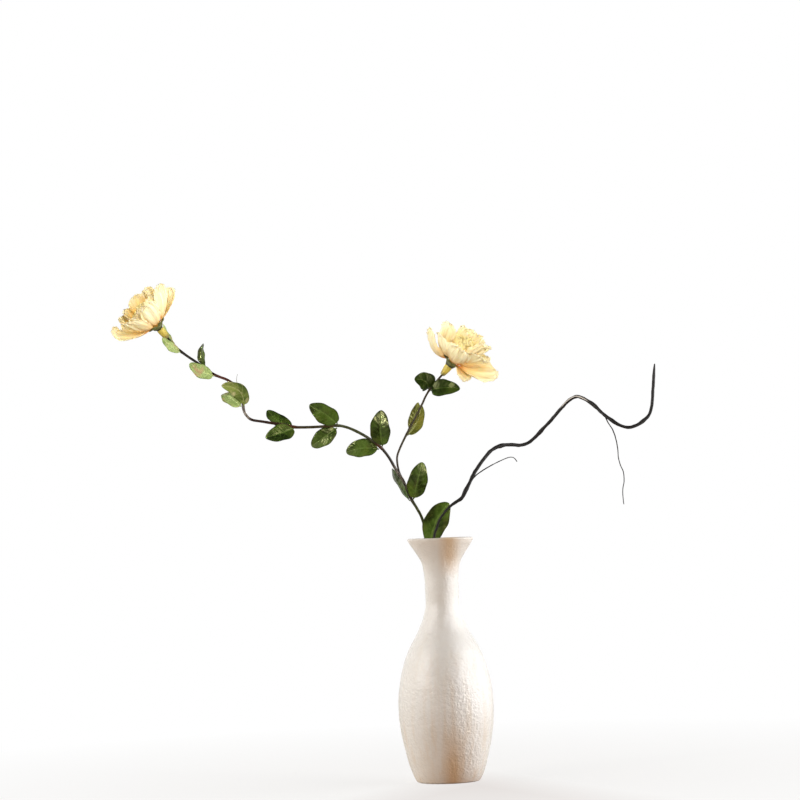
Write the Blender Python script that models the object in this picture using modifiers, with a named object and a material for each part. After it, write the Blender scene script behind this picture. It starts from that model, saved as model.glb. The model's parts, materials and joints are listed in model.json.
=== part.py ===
"""Two cream flowers on one leafy stem, with a bare twig, standing in a narrow-necked vase.

Metres, +Z up. The origin is the centre of the vase's foot, the front is -Y, the stem leans
towards -X and the twig towards +X.
"""
import math

import bmesh
import bpy
import numpy as np
from mathutils import Vector

# ---------------------------------------------------------------- driving dimensions
GAP = 0.0003                     # between pieces that touch

VASE_HEIGHT = 0.242
VASE_SEGMENTS = 48
VASE_WALL = 0.0045
VASE_FLOOR = 0.008               # how thick the vase is under its hollow
VASE_FLOOR_RADIUS = 0.026
LIP_RADIUS = 0.033
LIP_ROUND = 0.0018               # radius of the lip's rolled edge
THROAT_RADIUS = 0.0168           # the narrowest place outside
BELLY_RADIUS = 0.0472
FOOT_RADIUS = 0.0290             # the flat disc that it stands on
FOOT_ROUND = 0.0035

STEM_RADIUS = 0.00175            # at the mouth
BRANCH_RADIUS = 0.00135          # out at the left flower
SIDE_BRANCH_RADIUS = 0.00115
TWIG_RADIUS = 0.0020
TWIG_END_RADIUS = 0.0015
TWIG_TIP_TAPER = (0.8, 0.3)      # of its radius, at its last two points
SHOOT_RADIUS = 0.00060
SHOOT_END_RADIUS = 0.00042

LEAF_THICKNESS = 0.0006
LEAF_STALK = 0.0007              # half the width of a leaf's stalk
LEAF_FOLD = 0.20                 # rise of a blade's edge for each metre from its midrib
LEAF_ROWS = 7
LEAF_COLUMNS = 4

PETAL_THICKNESS = 0.0005
PETAL_CLAW = 0.0010              # half the width of a petal where it is held
PETAL_ROWS = 7
PETAL_COLUMNS = 4
OUTER_SEAT = 88                  # how far down the dome the petals stand, degrees from its top
INNER_SEAT = 58

NECK_LENGTH = 0.0105             # the swelling under the bloom
NECK_FOOT_RADIUS = 0.0016
CALYX_HEIGHT = 0.0045
CALYX_WALL = 0.0009
HEART_RADIUS = 0.0046            # the dome that holds the petals
HEART_HEIGHT = 0.0240
RIM_CLEARANCE = 0.0012           # from the calyx rim up to the centre of the dome

FRONT = np.array([0.0, -1.0, 0.0])

# ---------------------------------------------------------------- routes of the stems
# The flower stem stands on the vase's floor, leans on the mouth and arches to the left.
STEM_ROUTE = [
    (0.0240, 0.0085, 0.0091), (0.0160, 0.0083, 0.060), (0.0063, 0.0081, 0.120),
    (-0.0034, 0.0080, 0.180), (-0.013, 0.008, 0.242), (-0.017, 0.008, 0.261),
    (-0.022, 0.007, 0.272), (-0.027, 0.006, 0.281), (-0.031, 0.005, 0.291), (-0.035, 0.004, 0.301),
    (-0.039, 0.003, 0.307), (-0.044, 0.002, 0.316), (-0.049, 0.000, 0.325), (-0.055, -0.003, 0.333),
    (-0.063, -0.006, 0.340), (-0.073, -0.010, 0.347), (-0.084, -0.014, 0.353),
    (-0.092, -0.017, 0.356), (-0.099, -0.020, 0.357), (-0.110, -0.024, 0.3565),
    (-0.122, -0.028, 0.356), (-0.134, -0.031, 0.356), (-0.141, -0.032, 0.3565),
    (-0.151, -0.033, 0.359), (-0.162, -0.034, 0.361), (-0.172, -0.034, 0.363),
    (-0.182, -0.033, 0.365), (-0.187, -0.032, 0.369), (-0.190, -0.030, 0.375),
    (-0.191, -0.028, 0.383), (-0.193, -0.025, 0.392), (-0.198, -0.022, 0.400),
    (-0.206, -0.020, 0.406), (-0.214, -0.018, 0.4095), (-0.220, -0.016, 0.4125),
    (-0.228, -0.013, 0.419), (-0.237, -0.010, 0.4255), (-0.246, -0.008, 0.432),
    (-0.2535, -0.006, 0.438), (-0.260, -0.0045, 0.4445), (-0.2655, -0.004, 0.4512),
]
# The side branch leaves the stem above the mouth and carries the right flower.
SIDE_ROUTE = [
    (-0.0335, 0.0045, 0.298), (-0.036, 0.0045, 0.303), (-0.0385, 0.005, 0.309),
    (-0.040, 0.006, 0.317), (-0.040, 0.008, 0.325), (-0.037, 0.010, 0.333), (-0.033, 0.012, 0.341),
    (-0.028, 0.014, 0.350), (-0.023, 0.016, 0.359), (-0.018, 0.017, 0.368), (-0.013, 0.018, 0.377),
    (-0.009, 0.018, 0.385), (-0.004, 0.018, 0.3925), (0.002, 0.0175, 0.399), (0.0078, 0.0165, 0.4055),
]
# The twig stands in front of the stem, rises to the right, arches over and ends in a hook.
TWIG_ROUTE = [
    (-0.020, 0.013, 0.0087), (-0.0175, 0.009, 0.060), (-0.0135, 0.003, 0.120),
    (-0.0095, -0.0032, 0.170), (-0.0085, -0.0053, 0.192), (-0.0076, -0.0072, 0.215),
    (-0.006, -0.009, 0.243), (-0.003, -0.010, 0.252), (0.000, -0.011, 0.260),
    (0.005, -0.012, 0.267), (0.011, -0.012, 0.273), (0.017, -0.012, 0.277), (0.023, -0.011, 0.281),
    (0.027, -0.009, 0.288), (0.031, -0.006, 0.295), (0.035, -0.003, 0.303), (0.041, 0.001, 0.312),
    (0.048, 0.005, 0.321), (0.055, 0.009, 0.328), (0.064, 0.013, 0.332), (0.074, 0.017, 0.333),
    (0.084, 0.020, 0.332), (0.092, 0.022, 0.334), (0.099, 0.022, 0.339), (0.108, 0.021, 0.348),
    (0.117, 0.018, 0.357), (0.126, 0.013, 0.367), (0.134, 0.008, 0.375), (0.142, 0.003, 0.3785),
    (0.150, -0.003, 0.375), (0.158, -0.008, 0.369), (0.165, -0.013, 0.361), (0.173, -0.017, 0.354),
    (0.181, -0.020, 0.348), (0.190, -0.021, 0.345), (0.199, -0.020, 0.347), (0.207, -0.018, 0.352),
    (0.2125, -0.016, 0.358), (0.2155, -0.014, 0.368), (0.217, -0.012, 0.381),
    (0.2185, -0.010, 0.395), (0.220, -0.009, 0.408),
]
SHORT_SHOOT_ROUTE = [
    (0.0295, -0.007, 0.292), (0.034, -0.0055, 0.2985), (0.038, -0.007, 0.303),
    (0.043, -0.009, 0.3065), (0.049, -0.0105, 0.310), (0.057, -0.0125, 0.314),
    (0.065, -0.014, 0.3175), (0.071, -0.015, 0.3195), (0.0745, -0.015, 0.3195),
    (0.077, -0.0145, 0.318), (0.079, -0.014, 0.315),
]
LONG_SHOOT_ROUTE = [
    (0.167, -0.014, 0.360), (0.1705, -0.018, 0.351), (0.1745, -0.022, 0.3435),
    (0.177, -0.025, 0.335), (0.1785, -0.027, 0.3245), (0.179, -0.027, 0.315),
    (0.181, -0.026, 0.307), (0.1835, -0.0245, 0.301), (0.184, -0.023, 0.292),
    (0.1825, -0.0235, 0.285), (0.182, -0.0255, 0.278), (0.1825, -0.027, 0.269),
]

# ---------------------------------------------------------------- leaves
# Where leaves grow: the branch, and the place on it.
LEAF_NODES = {
    "mouth": ("stem", (-0.012, 0.008, 0.230)), "lower": ("stem", (-0.026, 0.006, 0.281)),
    "fork": ("stem", (-0.056, -0.003, 0.334)), "arch": ("stem", (-0.0985, -0.020, 0.357)),
    "bend": ("stem", (-0.1415, -0.032, 0.3565)), "elbow": ("stem", (-0.190, -0.029, 0.3785)),
    "rise_low": ("stem", (-0.218, -0.016, 0.411)), "rise_high": ("stem", (-0.229, -0.013, 0.4195)),
    "bud_low": ("stem", (-0.252, -0.006, 0.437)), "bud_high": ("stem", (-0.259, -0.005, 0.443)),
    "olive_low": ("side", (-0.0295, 0.0135, 0.347)), "olive_high": ("side", (-0.027, 0.014, 0.352)),
    "top": ("side", (-0.005, 0.018, 0.391)),
}
# Each leaf: its node, its tip, its width, the roll about its midrib in degrees, the sideways bow
# of the midrib (clockwise seen from the front) and how far its middle lifts towards the front.
LEAVES = {
    "mouth_leaf": ("mouth", (0.0095, -0.002, 0.2765), 0.0240, 0, -0.006, 0.002),
    "lower_leaf_right": ("lower", (-0.015, -0.002, 0.318), 0.0200, 8, 0.0, 0.004),
    "lower_leaf_left": ("lower", (-0.045, 0.018, 0.313), 0.0190, 72, -0.003, 0.003),
    "fork_leaf_upper": ("fork", (-0.054, -0.012, 0.371), 0.0210, -15, -0.001, 0.0045),
    "fork_leaf_lower": ("fork", (-0.091, 0.008, 0.331), 0.0190, 15, 0.002, 0.003),
    "arch_leaf_upper": ("arch", (-0.125, -0.031, 0.378), 0.0200, -14, 0.0015, 0.0045),
    "arch_leaf_lower": ("arch", (-0.125, -0.012, 0.338), 0.0180, 15, -0.001, 0.004),
    "bend_leaf_upper": ("bend", (-0.167, -0.015, 0.375), 0.0165, 40, -0.0035, 0.0008),
    "bend_leaf_lower": ("bend", (-0.169, -0.042, 0.347), 0.0190, 22, -0.0015, 0.005),
    "elbow_leaf_upper": ("elbow", (-0.211, -0.037, 0.399), 0.0210, -30, 0.007, 0.004),
    "elbow_leaf_lower": ("elbow", (-0.210, -0.019, 0.3935), 0.0145, 42, 0.001, 0.0055),
    "rise_leaf_upper": ("rise_high", (-0.230, -0.006, 0.444), 0.0120, -50, -0.002, 0.003),
    "rise_leaf_lower": ("rise_low", (-0.2425, -0.019, 0.4245), 0.0158, 30, -0.003, 0.003),
    "bud_leaf_front": ("bud_low", (-0.270, -0.012, 0.451), 0.0095, 25, -0.002, 0.002),
    "bud_leaf_back": ("bud_high", (-0.2705, 0.007, 0.466), 0.0050, 60, -0.001, -0.001),
    "olive_leaf_left": ("olive_high", (-0.017, 0.0245, 0.379), 0.0095, -10, 0.0008, -0.0005),
    "olive_leaf_right": ("olive_low", (-0.014, 0.033, 0.377), 0.0125, 5, 0.004, -0.003),
    "top_leaf_left": ("top", (-0.020, 0.010, 0.402), 0.0165, 20, 0.0025, 0.003),
    "top_leaf_right": ("top", (0.0255, 0.010, 0.3905), 0.0165, -18, -0.0015, 0.004),
}

# ---------------------------------------------------------------- flowers
# Each petal: azimuth round the flower's axis from its front, start and end angle from the
# axis, length, width and twist, in degrees and metres. Outer petals are seated low on the dome.
PETALS = {
    "left": {
        "outer": [
            (-82, 90, 38, 0.039, 0.024, -42), (-40, 82, 31, 0.0355, 0.0195, 0),
            (11, 75, 25, 0.0345, 0.021, 0), (66, 74, 22, 0.041, 0.022, -25),
            (112, 88, 42, 0.0370, 0.022, 25), (161, 79, 30, 0.035, 0.020, 0),
            (202, 94, 42, 0.034, 0.022, 0), (236, 72, 22, 0.033, 0.020, 0),
        ],
        "inner": [
            (-58, 60, 24, 0.025, 0.018, 0), (-10, 42, 6, 0.024, 0.018, 0),
            (42, 56, 18, 0.030, 0.021, 0), (92, 42, 8, 0.035, 0.018, 0),
            (134, 56, 18, 0.036, 0.020, 0), (176, 40, 3, 0.034, 0.020, 0),
            (240, 50, 11, 0.032, 0.021, 0),
        ],
    },
    "right": {
        "outer": [
            (-90, 125, 44, 0.0375, 0.0205, 17), (0, 82, 32, 0.036, 0.024, 0),
            (47, 120, 111, 0.0220, 0.019, 12), (80, 102, 44, 0.043, 0.024, 42),
            (124, 80, 29, 0.036, 0.020, 0), (160, 94, 36, 0.034, 0.022, 0),
            (197, 72, 16, 0.034, 0.019, 0), (246, 82, 12, 0.039, 0.0205, -8),
        ],
        "inner": [
            (-60, 60, 26, 0.033, 0.020, 0), (26, 66, 30, 0.032, 0.022, 0),
            (68, 44, 12, 0.033, 0.019, 0), (104, 60, 26, 0.034, 0.022, 0),
            (146, 44, 10, 0.0335, 0.019, 0), (186, 56, 22, 0.035, 0.018, 0),
            (232, 42, 8, 0.032, 0.019, 0),
        ],
    },
}
FLOWERS = {
    "left": {"foot": (-0.2659, -0.0041, 0.4517), "axis": (-0.61, -0.22, 0.76), "neck": 0.0038},
    "right": {"foot": (0.0085, 0.0164, 0.4060), "axis": (0.63, -0.20, 0.75), "neck": 0.0048},
}

# ---------------------------------------------------------------- materials
COLOURS = {
    "glaze": ((0.86, 0.82, 0.76), 0.45),
    "bark_brown": ((0.09, 0.06, 0.045), 0.60),
    "twig_black": ((0.035, 0.028, 0.022), 0.65),
    "leaf_green": ((0.06, 0.11, 0.03), 0.40),
    "leaf_pale": ((0.42, 0.52, 0.25), 0.50),
    "leaf_olive": ((0.20, 0.22, 0.06), 0.45),
    "petal_cream": ((0.97, 0.88, 0.62), 0.55),
    "petal_gold": ((0.85, 0.62, 0.20), 0.60),
    "neck_ochre": ((0.55, 0.45, 0.14), 0.50),
    "calyx_green": ((0.14, 0.17, 0.05), 0.50),
}
PALE_LEAVES = {"elbow_leaf_lower", "rise_leaf_lower", "bud_leaf_front", "bud_leaf_back"}


# ---------------------------------------------------------------- helpers
def clear_scene():
    for obj in list(bpy.data.objects):
        bpy.data.objects.remove(obj)


def collection(name):
    made = bpy.data.collections.new(name)
    bpy.context.scene.collection.children.link(made)
    return made


def material(name, colour, roughness):
    made = bpy.data.materials.new(name)
    made.use_nodes = True
    shader = made.node_tree.nodes["Principled BSDF"]
    shader.inputs["Base Color"].default_value = (*colour, 1.0)
    shader.inputs["Roughness"].default_value = roughness
    shader.inputs["Metallic"].default_value = 0.0
    made.diffuse_color = (*colour, 1.0)
    return made


def add_object(name, data, finish):
    obj = bpy.data.objects.new(name, data)
    ARRANGEMENT.objects.link(obj)
    data.materials.append(FINISHES[finish])
    return obj


def unit(vector):
    vector = np.asarray(vector, float)
    return vector / np.linalg.norm(vector)


def smooth_route(points, spacing):
    """A Catmull-Rom curve through the points, read again at an even spacing along it."""
    points = np.asarray(points, float)
    ends = np.vstack([2 * points[0] - points[1], points, 2 * points[-1] - points[-2]])
    t = np.linspace(0, 1, 24, endpoint=False)[:, None]
    spans = []
    for a, b, c, d in zip(ends, ends[1:], ends[2:], ends[3:]):
        spans.append(0.5 * (2 * b + (c - a) * t + (2 * a - 5 * b + 4 * c - d) * t ** 2
                            + (3 * b - a - 3 * c + d) * t ** 3))
    curve = np.vstack(spans + [points[-1:]])
    along = np.concatenate([[0], np.cumsum(np.linalg.norm(np.diff(curve, axis=0), axis=1))])
    stations = np.linspace(0, along[-1], max(2, round(along[-1] / spacing) + 1))
    return np.column_stack([np.interp(stations, along, curve[:, k]) for k in range(3)])


def tube(name, route, radii, finish):
    """A round tube along a route, made a mesh with welded caps so that it can be joined."""
    curve = bpy.data.curves.new(name + "_path", "CURVE")
    curve.dimensions = "3D"
    curve.bevel_depth = 1.0
    curve.bevel_resolution = 2
    curve.use_fill_caps = True
    spline = curve.splines.new("POLY")
    spline.points.add(len(route) - 1)
    for point, place, radius in zip(spline.points, route, radii):
        point.co = (*place, 1.0)
        point.radius = radius
    path = bpy.data.objects.new(name + "_path", curve)
    ARRANGEMENT.objects.link(path)
    bpy.context.view_layer.update()
    seen = path.evaluated_get(bpy.context.evaluated_depsgraph_get())
    mesh = bpy.data.meshes.new_from_object(seen)
    bpy.data.objects.remove(path)
    mesh.name = name
    shell = bmesh.new()
    shell.from_mesh(mesh)
    bmesh.ops.remove_doubles(shell, verts=shell.verts, dist=0.00001)
    shell.to_mesh(mesh)
    shell.free()
    mesh.materials.clear()
    mesh.shade_smooth()
    return add_object(name, mesh, finish)


def join_to(trunk, branch):
    """Grows a branch out of a trunk: it stays as a hidden guide and the trunk takes it in."""
    ARRANGEMENT.objects.unlink(branch)
    GUIDES.objects.link(branch)
    branch.hide_render = True
    branch.display_type = "WIRE"
    join = trunk.modifiers.new("join " + branch.name, "BOOLEAN")
    join.operation = "UNION"
    join.object = branch


def grid_mesh(name, points, thickness, finish):
    """An open sheet from a rows x columns grid of points, given its thickness by Solidify."""
    rows, columns = points.shape[:2]
    index = np.arange(rows * columns).reshape(rows, columns)
    faces = np.stack([index[:-1, :-1], index[:-1, 1:], index[1:, 1:], index[1:, :-1]], axis=-1)
    mesh = bpy.data.meshes.new(name)
    mesh.from_pydata(points.reshape(-1, 3).tolist(), [], faces.reshape(-1, 4).tolist())
    mesh.shade_smooth()
    sheet = add_object(name, mesh, finish)
    skin = sheet.modifiers.new("thickness", "SOLIDIFY")
    skin.thickness = thickness
    skin.offset = 0.0
    return sheet


def turned(name, profile, segments, finish):
    """A solid of revolution about Z from a profile of (radius, height) that starts and ends on
    the axis and runs down its outer side."""
    mesh = bpy.data.meshes.new(name)
    points = [(radius, 0.0, height) for radius, height in profile]
    edges = [(k, k + 1) for k in range(len(points) - 1)]
    mesh.from_pydata(points, edges, [])
    body = add_object(name, mesh, finish)
    screw = body.modifiers.new("turn", "SCREW")
    screw.steps = segments
    screw.render_steps = segments
    screw.use_merge_vertices = True
    screw.merge_threshold = 0.00005
    screw.use_smooth_shade = True
    return body


# ---------------------------------------------------------------- vase
def vase_outer(height):
    """Outer radius of the vase at a height, a smooth curve through its few driving sections."""
    heights = np.array([0.000, 0.010, 0.034, 0.070, 0.100, 0.130, 0.154, 0.172, 0.190, 0.206,
                        0.220, 0.232, 0.2395])
    radii = np.array([0.0316, 0.0358, 0.0425, BELLY_RADIUS, 0.0449, 0.0360, 0.0232,
                      0.0172, THROAT_RADIUS, 0.0173, 0.0203, 0.0277, 0.0326])
    slopes = np.gradient(radii, heights)
    k = np.clip(np.searchsorted(heights, height) - 1, 0, len(heights) - 2)
    span = heights[k + 1] - heights[k]
    t = (height - heights[k]) / span
    return ((2 * t ** 3 - 3 * t ** 2 + 1) * radii[k] + (t ** 3 - 2 * t ** 2 + t) * span * slopes[k]
            + (3 * t ** 2 - 2 * t ** 3) * radii[k + 1] + (t ** 3 - t ** 2) * span * slopes[k + 1])


def arc(centre, radius, first, last, steps):
    """Points (radius, height) round a circle, from the first to the last angle in degrees."""
    angles = np.radians(np.linspace(first, last, steps))
    return [(centre[0] + radius * math.cos(a), centre[1] + radius * math.sin(a)) for a in angles]


def vase():
    inside = [0.012, 0.030, 0.070, 0.100, 0.126, 0.146, 0.162, 0.180, 0.200, 0.214, 0.224, 0.232]
    outside = [0.236, 0.231, 0.224, 0.215, 0.205, 0.190, 0.174, 0.164, 0.152, 0.138, 0.120,
               0.100, 0.078, 0.056, 0.036, 0.018, 0.006]
    hollow = [(0.0, VASE_FLOOR), (VASE_FLOOR_RADIUS, VASE_FLOOR)]
    inner_wall = [(vase_outer(z) - VASE_WALL, z) for z in inside]
    lip = arc((LIP_RADIUS - LIP_ROUND, VASE_HEIGHT - LIP_ROUND), LIP_ROUND, 180, 0, 5)
    outer_wall = [(vase_outer(z), z) for z in outside]
    foot = arc((FOOT_RADIUS, FOOT_ROUND), FOOT_ROUND, -30, -90, 3) + [(0.0, 0.0)]
    return turned("vase", hollow + inner_wall + lip + outer_wall + foot, VASE_SEGMENTS, "glaze")


# ---------------------------------------------------------------- stem and twig
def flower_stem():
    route = smooth_route(STEM_ROUTE, 0.0082)
    radii = np.linspace(STEM_RADIUS, BRANCH_RADIUS, len(route))
    stem = tube("flower_stem", route, radii, "bark_brown")
    route = smooth_route(SIDE_ROUTE, 0.0065)
    radii = np.full(len(route), SIDE_BRANCH_RADIUS)
    join_to(stem, tube("side_branch", route, radii, "bark_brown"))


def twig():
    route = smooth_route(TWIG_ROUTE, 0.0095)
    radii = np.linspace(TWIG_RADIUS, TWIG_END_RADIUS, len(route))
    radii[-2:] *= TWIG_TIP_TAPER
    trunk = tube("twig", route, radii, "twig_black")
    for name, points in (("short_shoot", SHORT_SHOOT_ROUTE), ("long_shoot", LONG_SHOOT_ROUTE)):
        route = smooth_route(points, 0.0050)
        radii = np.linspace(SHOOT_RADIUS, SHOOT_END_RADIUS, len(route))
        join_to(trunk, tube(name, route, radii, "twig_black"))


# ---------------------------------------------------------------- leaves
def leaf_half_width(s, width):
    """Half the blade's width at s, 0 at the stem and 1 at the tip: a stalk, an oval and a point."""
    blade = np.clip((s - 0.05) / 0.95, 0, 1)
    oval = 0.5 * width * np.sin(np.pi * blade ** 0.85) ** 0.62
    return np.maximum(oval, LEAF_STALK * (1 - 0.6 * s))


def carrier(points, first_radius, last_radius):
    """The line and radius of a branch, read finely enough to seat a leaf on it."""
    line = smooth_route(points, 0.0005)
    return line, np.linspace(first_radius, last_radius, len(line))


def leaf(name, branch_route, branch_radii, base, tip, width, roll, bow, lift):
    """A folded oval blade on a bent midrib that leaves its branch squarely."""
    tip = np.array(tip)
    nearest = int(np.argmin(np.linalg.norm(branch_route - np.array(base), axis=1)))
    nearest = min(max(nearest, 1), len(branch_route) - 2)
    base = branch_route[nearest]
    along_stem = unit(branch_route[nearest + 1] - branch_route[nearest - 1])
    chord = unit(tip - base)
    front = unit(FRONT - (FRONT @ chord) * chord)
    clockwise = np.cross(chord, front)
    turn = math.radians(roll)
    face = front * math.cos(turn) + clockwise * math.sin(turn)
    middle = 0.5 * (base + tip) + 2 * bow * clockwise + 2 * lift * front
    outwards = middle - base
    outwards = unit(outwards - (outwards @ along_stem) * along_stem)
    edge_on = abs(float(unit(np.cross(middle - base, face)) @ outwards))
    reach = LEAF_STALK * edge_on + 0.5 * LEAF_THICKNESS * math.sqrt(1 - edge_on ** 2)
    root = base + outwards * (branch_radii[nearest] + GAP + reach)
    s = np.linspace(0, 1, LEAF_ROWS)[:, None]
    midrib = (1 - s) ** 2 * root + 2 * s * (1 - s) * middle + s ** 2 * tip
    heading = (1 - s) * (middle - root) + s * (tip - middle)
    heading = heading / np.linalg.norm(heading, axis=1, keepdims=True)
    across = np.cross(heading, face)
    across = across / np.linalg.norm(across, axis=1, keepdims=True)
    normal = np.cross(across, heading)
    v = np.linspace(-1, 1, LEAF_COLUMNS + 1)[None, :]
    half = leaf_half_width(s, width)
    rise = LEAF_FOLD * np.abs(v) * half
    points = (midrib[:, None, :] + (half * v)[..., None] * across[:, None, :]
              + rise[..., None] * normal[:, None, :])
    finish = "leaf_pale" if name in PALE_LEAVES else "leaf_green"
    finish = "leaf_olive" if name.startswith("olive") else finish
    return grid_mesh(name, points, LEAF_THICKNESS, finish)


# ---------------------------------------------------------------- flowers
def flower_frame(axis):
    """The flower's own axes: towards the front, clockwise from it, and out along its axis."""
    axis = unit(axis)
    front = unit(FRONT - (FRONT @ axis) * axis)
    return front, np.cross(axis, front), axis


def place_turned(body, foot, axis):
    body.rotation_mode = "QUATERNION"
    body.rotation_quaternion = Vector(axis).to_track_quat("Z", "Y")
    body.location = foot


def petal_half_width(s, width):
    """Half the petal's width at s, 0 at its foot and 1 at its tip: a narrow claw, a blade that
    swells to its widest place and a blunt round tip."""
    widest = 0.64
    swelling = np.sin(0.5 * np.pi * np.clip((s - 0.04) / (widest - 0.04), 0, 1)) ** 1.15
    rounding = (1 - (np.clip(s - widest, 0, 1) / 0.40) ** 2.4) ** 0.55
    return np.maximum(0.5 * width * np.where(s < widest, swelling, rounding), PETAL_CLAW)


def petal(name, centre, axes, seat, azimuth, start, end, length, width, twist):
    """A cupped sheet whose spine leaves the dome at the seat angle and bends from its start to
    its end angle from the flower's axis. Across, it is an arc that closes round that axis."""
    front, side, axis = axes
    turn = math.radians(azimuth)
    outwards = front * math.cos(turn) + side * math.sin(turn)
    round_it = side * math.cos(turn) - front * math.sin(turn)
    s = np.linspace(0, 1, PETAL_ROWS) ** 1.15
    angle = np.radians(start + (end - start) * np.sin(0.5 * np.pi * s))
    middle = 0.5 * (angle[1:] + angle[:-1])
    steps = np.diff(s) * length
    seat = math.radians(seat)
    lean = abs(math.cos(seat - math.radians(start)))
    root = HEART_RADIUS + GAP + 0.5 * PETAL_THICKNESS * lean + 0.0002
    radius = root * math.sin(seat) + np.concatenate([[0], np.cumsum(steps * np.sin(middle))])
    height = root * math.cos(seat) + np.concatenate([[0], np.cumsum(steps * np.cos(middle))])
    half = petal_half_width(s, width)[:, None]
    cup = np.maximum(radius * 0.9, 0.006)[:, None]
    bend = half * np.linspace(-1, 1, PETAL_COLUMNS + 1)[None, :] / cup
    lift = cup * (1 - np.cos(bend))
    wide = cup * np.sin(bend)
    spin = (math.radians(twist) * s ** 0.7)[:, None]
    inward = lift * np.cos(spin) + wide * np.sin(spin)
    x = radius[:, None] - inward * np.cos(angle)[:, None]
    y = wide * np.cos(spin) - lift * np.sin(spin)
    z = height[:, None] + inward * np.sin(angle)[:, None]
    points = centre + x[..., None] * outwards + y[..., None] * round_it + z[..., None] * axis
    return grid_mesh(name, points, PETAL_THICKNESS, "petal_cream")


def flower_neck(side, foot, axis, radius):
    """The swelling under the bloom, from its flat top down to the thin stalk."""
    profile = [(0.0, NECK_LENGTH), (radius * 0.90, NECK_LENGTH), (radius, NECK_LENGTH * 0.80),
               (radius * 0.86, NECK_LENGTH * 0.50), (NECK_FOOT_RADIUS * 1.2, NECK_LENGTH * 0.12),
               (NECK_FOOT_RADIUS, 0.0), (0.0, 0.0)]
    place_turned(turned(side + "_neck", profile, 16, "neck_ochre"), foot, axis)


def calyx(side, foot, axis, foot_radius, floor):
    """The green cup: its hollow from the middle of the floor up to the rim, then its outside."""
    hollow = HEART_RADIUS + GAP + 0.0001
    profile = [(0.0, floor), (hollow * 0.78, floor + 0.0004), (hollow, CALYX_HEIGHT),
               (hollow + CALYX_WALL, CALYX_HEIGHT),
               (hollow + 0.5 * CALYX_WALL, CALYX_HEIGHT * 0.55), (foot_radius, 0.0), (0.0, 0.0)]
    place_turned(turned(side + "_calyx", profile, 20, "calyx_green"), foot, axis)


def heart(side, centre, axis, depth):
    """The golden middle: a club of young petals over the dome, and the dome's seat in the cup."""
    club = [(0.0045, 0.95), (0.0066, 0.82), (0.0062, 0.64), (0.0040, 0.42), (0.0028, 0.26)]
    profile = [(0.0, HEART_HEIGHT)] + [(radius, HEART_HEIGHT * share) for radius, share in club]
    profile += arc((0.0, 0.0), HEART_RADIUS, 40, 0, 3)
    profile += [(HEART_RADIUS * 0.78, -0.85 * depth), (HEART_RADIUS * 0.60, -depth), (0.0, -depth)]
    place_turned(turned(side + "_heart", profile, 20, "petal_gold"), centre, axis)


def flower(side, foot, axis, neck):
    axes = flower_frame(axis)
    axis = axes[2]
    cup_foot = np.array(foot) + axis * (NECK_LENGTH + GAP)
    cup_floor = CALYX_HEIGHT * 0.45
    centre = cup_foot + axis * (CALYX_HEIGHT + RIM_CLEARANCE)
    flower_neck(side, foot, axis, neck)
    calyx(side, cup_foot, axis, neck * 0.9, cup_floor)
    heart(side, centre, axis, CALYX_HEIGHT + RIM_CLEARANCE - cup_floor - 0.0004 - GAP - 0.0001)
    for ring, seat in (("outer", OUTER_SEAT), ("inner", INNER_SEAT)):
        for k, shape in enumerate(PETALS[side][ring]):
            petal(f"{side}_{ring}_petal_{k + 1}", centre, axes, seat, *shape)


# ---------------------------------------------------------------- the whole arrangement
clear_scene()
ARRANGEMENT = collection("flowers_in_vase")
GUIDES = collection("guides")
FINISHES = {name: material(name, *look) for name, look in COLOURS.items()}

vase()
flower_stem()
twig()
CARRIERS = {
    "stem": carrier(STEM_ROUTE, STEM_RADIUS, BRANCH_RADIUS),
    "side": carrier(SIDE_ROUTE, SIDE_BRANCH_RADIUS, SIDE_BRANCH_RADIUS),
}
for leaf_name, (node, *shape) in LEAVES.items():
    branch, place = LEAF_NODES[node]
    leaf(leaf_name, *CARRIERS[branch], place, *shape)
for flower_side, look in FLOWERS.items():
    flower(flower_side, **look)
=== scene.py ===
# %% [markdown]
# # Two cream flowers and a bare twig in a narrow-necked vase
#
# The arrangement is a white ceramic vase, one forked stem with nineteen leaves and two flowers,
# and a dark twig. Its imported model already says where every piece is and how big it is. This
# lesson gives each piece its fine surface and its finish. Every surface is a function of two
# parameters, worked out for a whole grid at once with numpy, and its colours come from shader
# nodes. Lengths are metres, but the tables of places and sizes are in millimetres. +Z is up, and
# the front is -Y.

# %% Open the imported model
import json
import math

import bpy
import numpy as np
from mathutils import Matrix, Vector

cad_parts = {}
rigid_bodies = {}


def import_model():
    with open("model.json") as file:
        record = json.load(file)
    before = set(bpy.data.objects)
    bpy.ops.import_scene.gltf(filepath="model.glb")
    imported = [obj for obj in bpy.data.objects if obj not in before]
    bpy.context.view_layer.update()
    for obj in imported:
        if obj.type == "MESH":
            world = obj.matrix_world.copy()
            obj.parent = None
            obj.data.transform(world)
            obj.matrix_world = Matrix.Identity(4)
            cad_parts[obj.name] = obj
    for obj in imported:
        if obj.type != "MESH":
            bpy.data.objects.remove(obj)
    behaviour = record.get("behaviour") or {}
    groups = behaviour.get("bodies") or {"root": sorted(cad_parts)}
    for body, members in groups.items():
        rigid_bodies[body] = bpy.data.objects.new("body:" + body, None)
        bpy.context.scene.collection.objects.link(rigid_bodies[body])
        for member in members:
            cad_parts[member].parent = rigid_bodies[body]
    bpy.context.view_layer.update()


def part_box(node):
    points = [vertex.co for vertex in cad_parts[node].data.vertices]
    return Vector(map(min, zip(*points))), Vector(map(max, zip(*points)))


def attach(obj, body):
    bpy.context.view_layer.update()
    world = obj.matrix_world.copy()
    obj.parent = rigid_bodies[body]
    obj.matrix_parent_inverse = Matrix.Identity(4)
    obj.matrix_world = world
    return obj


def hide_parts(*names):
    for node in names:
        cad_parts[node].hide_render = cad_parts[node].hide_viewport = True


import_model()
GAP = 0.0003                     # between pieces that touch
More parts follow.
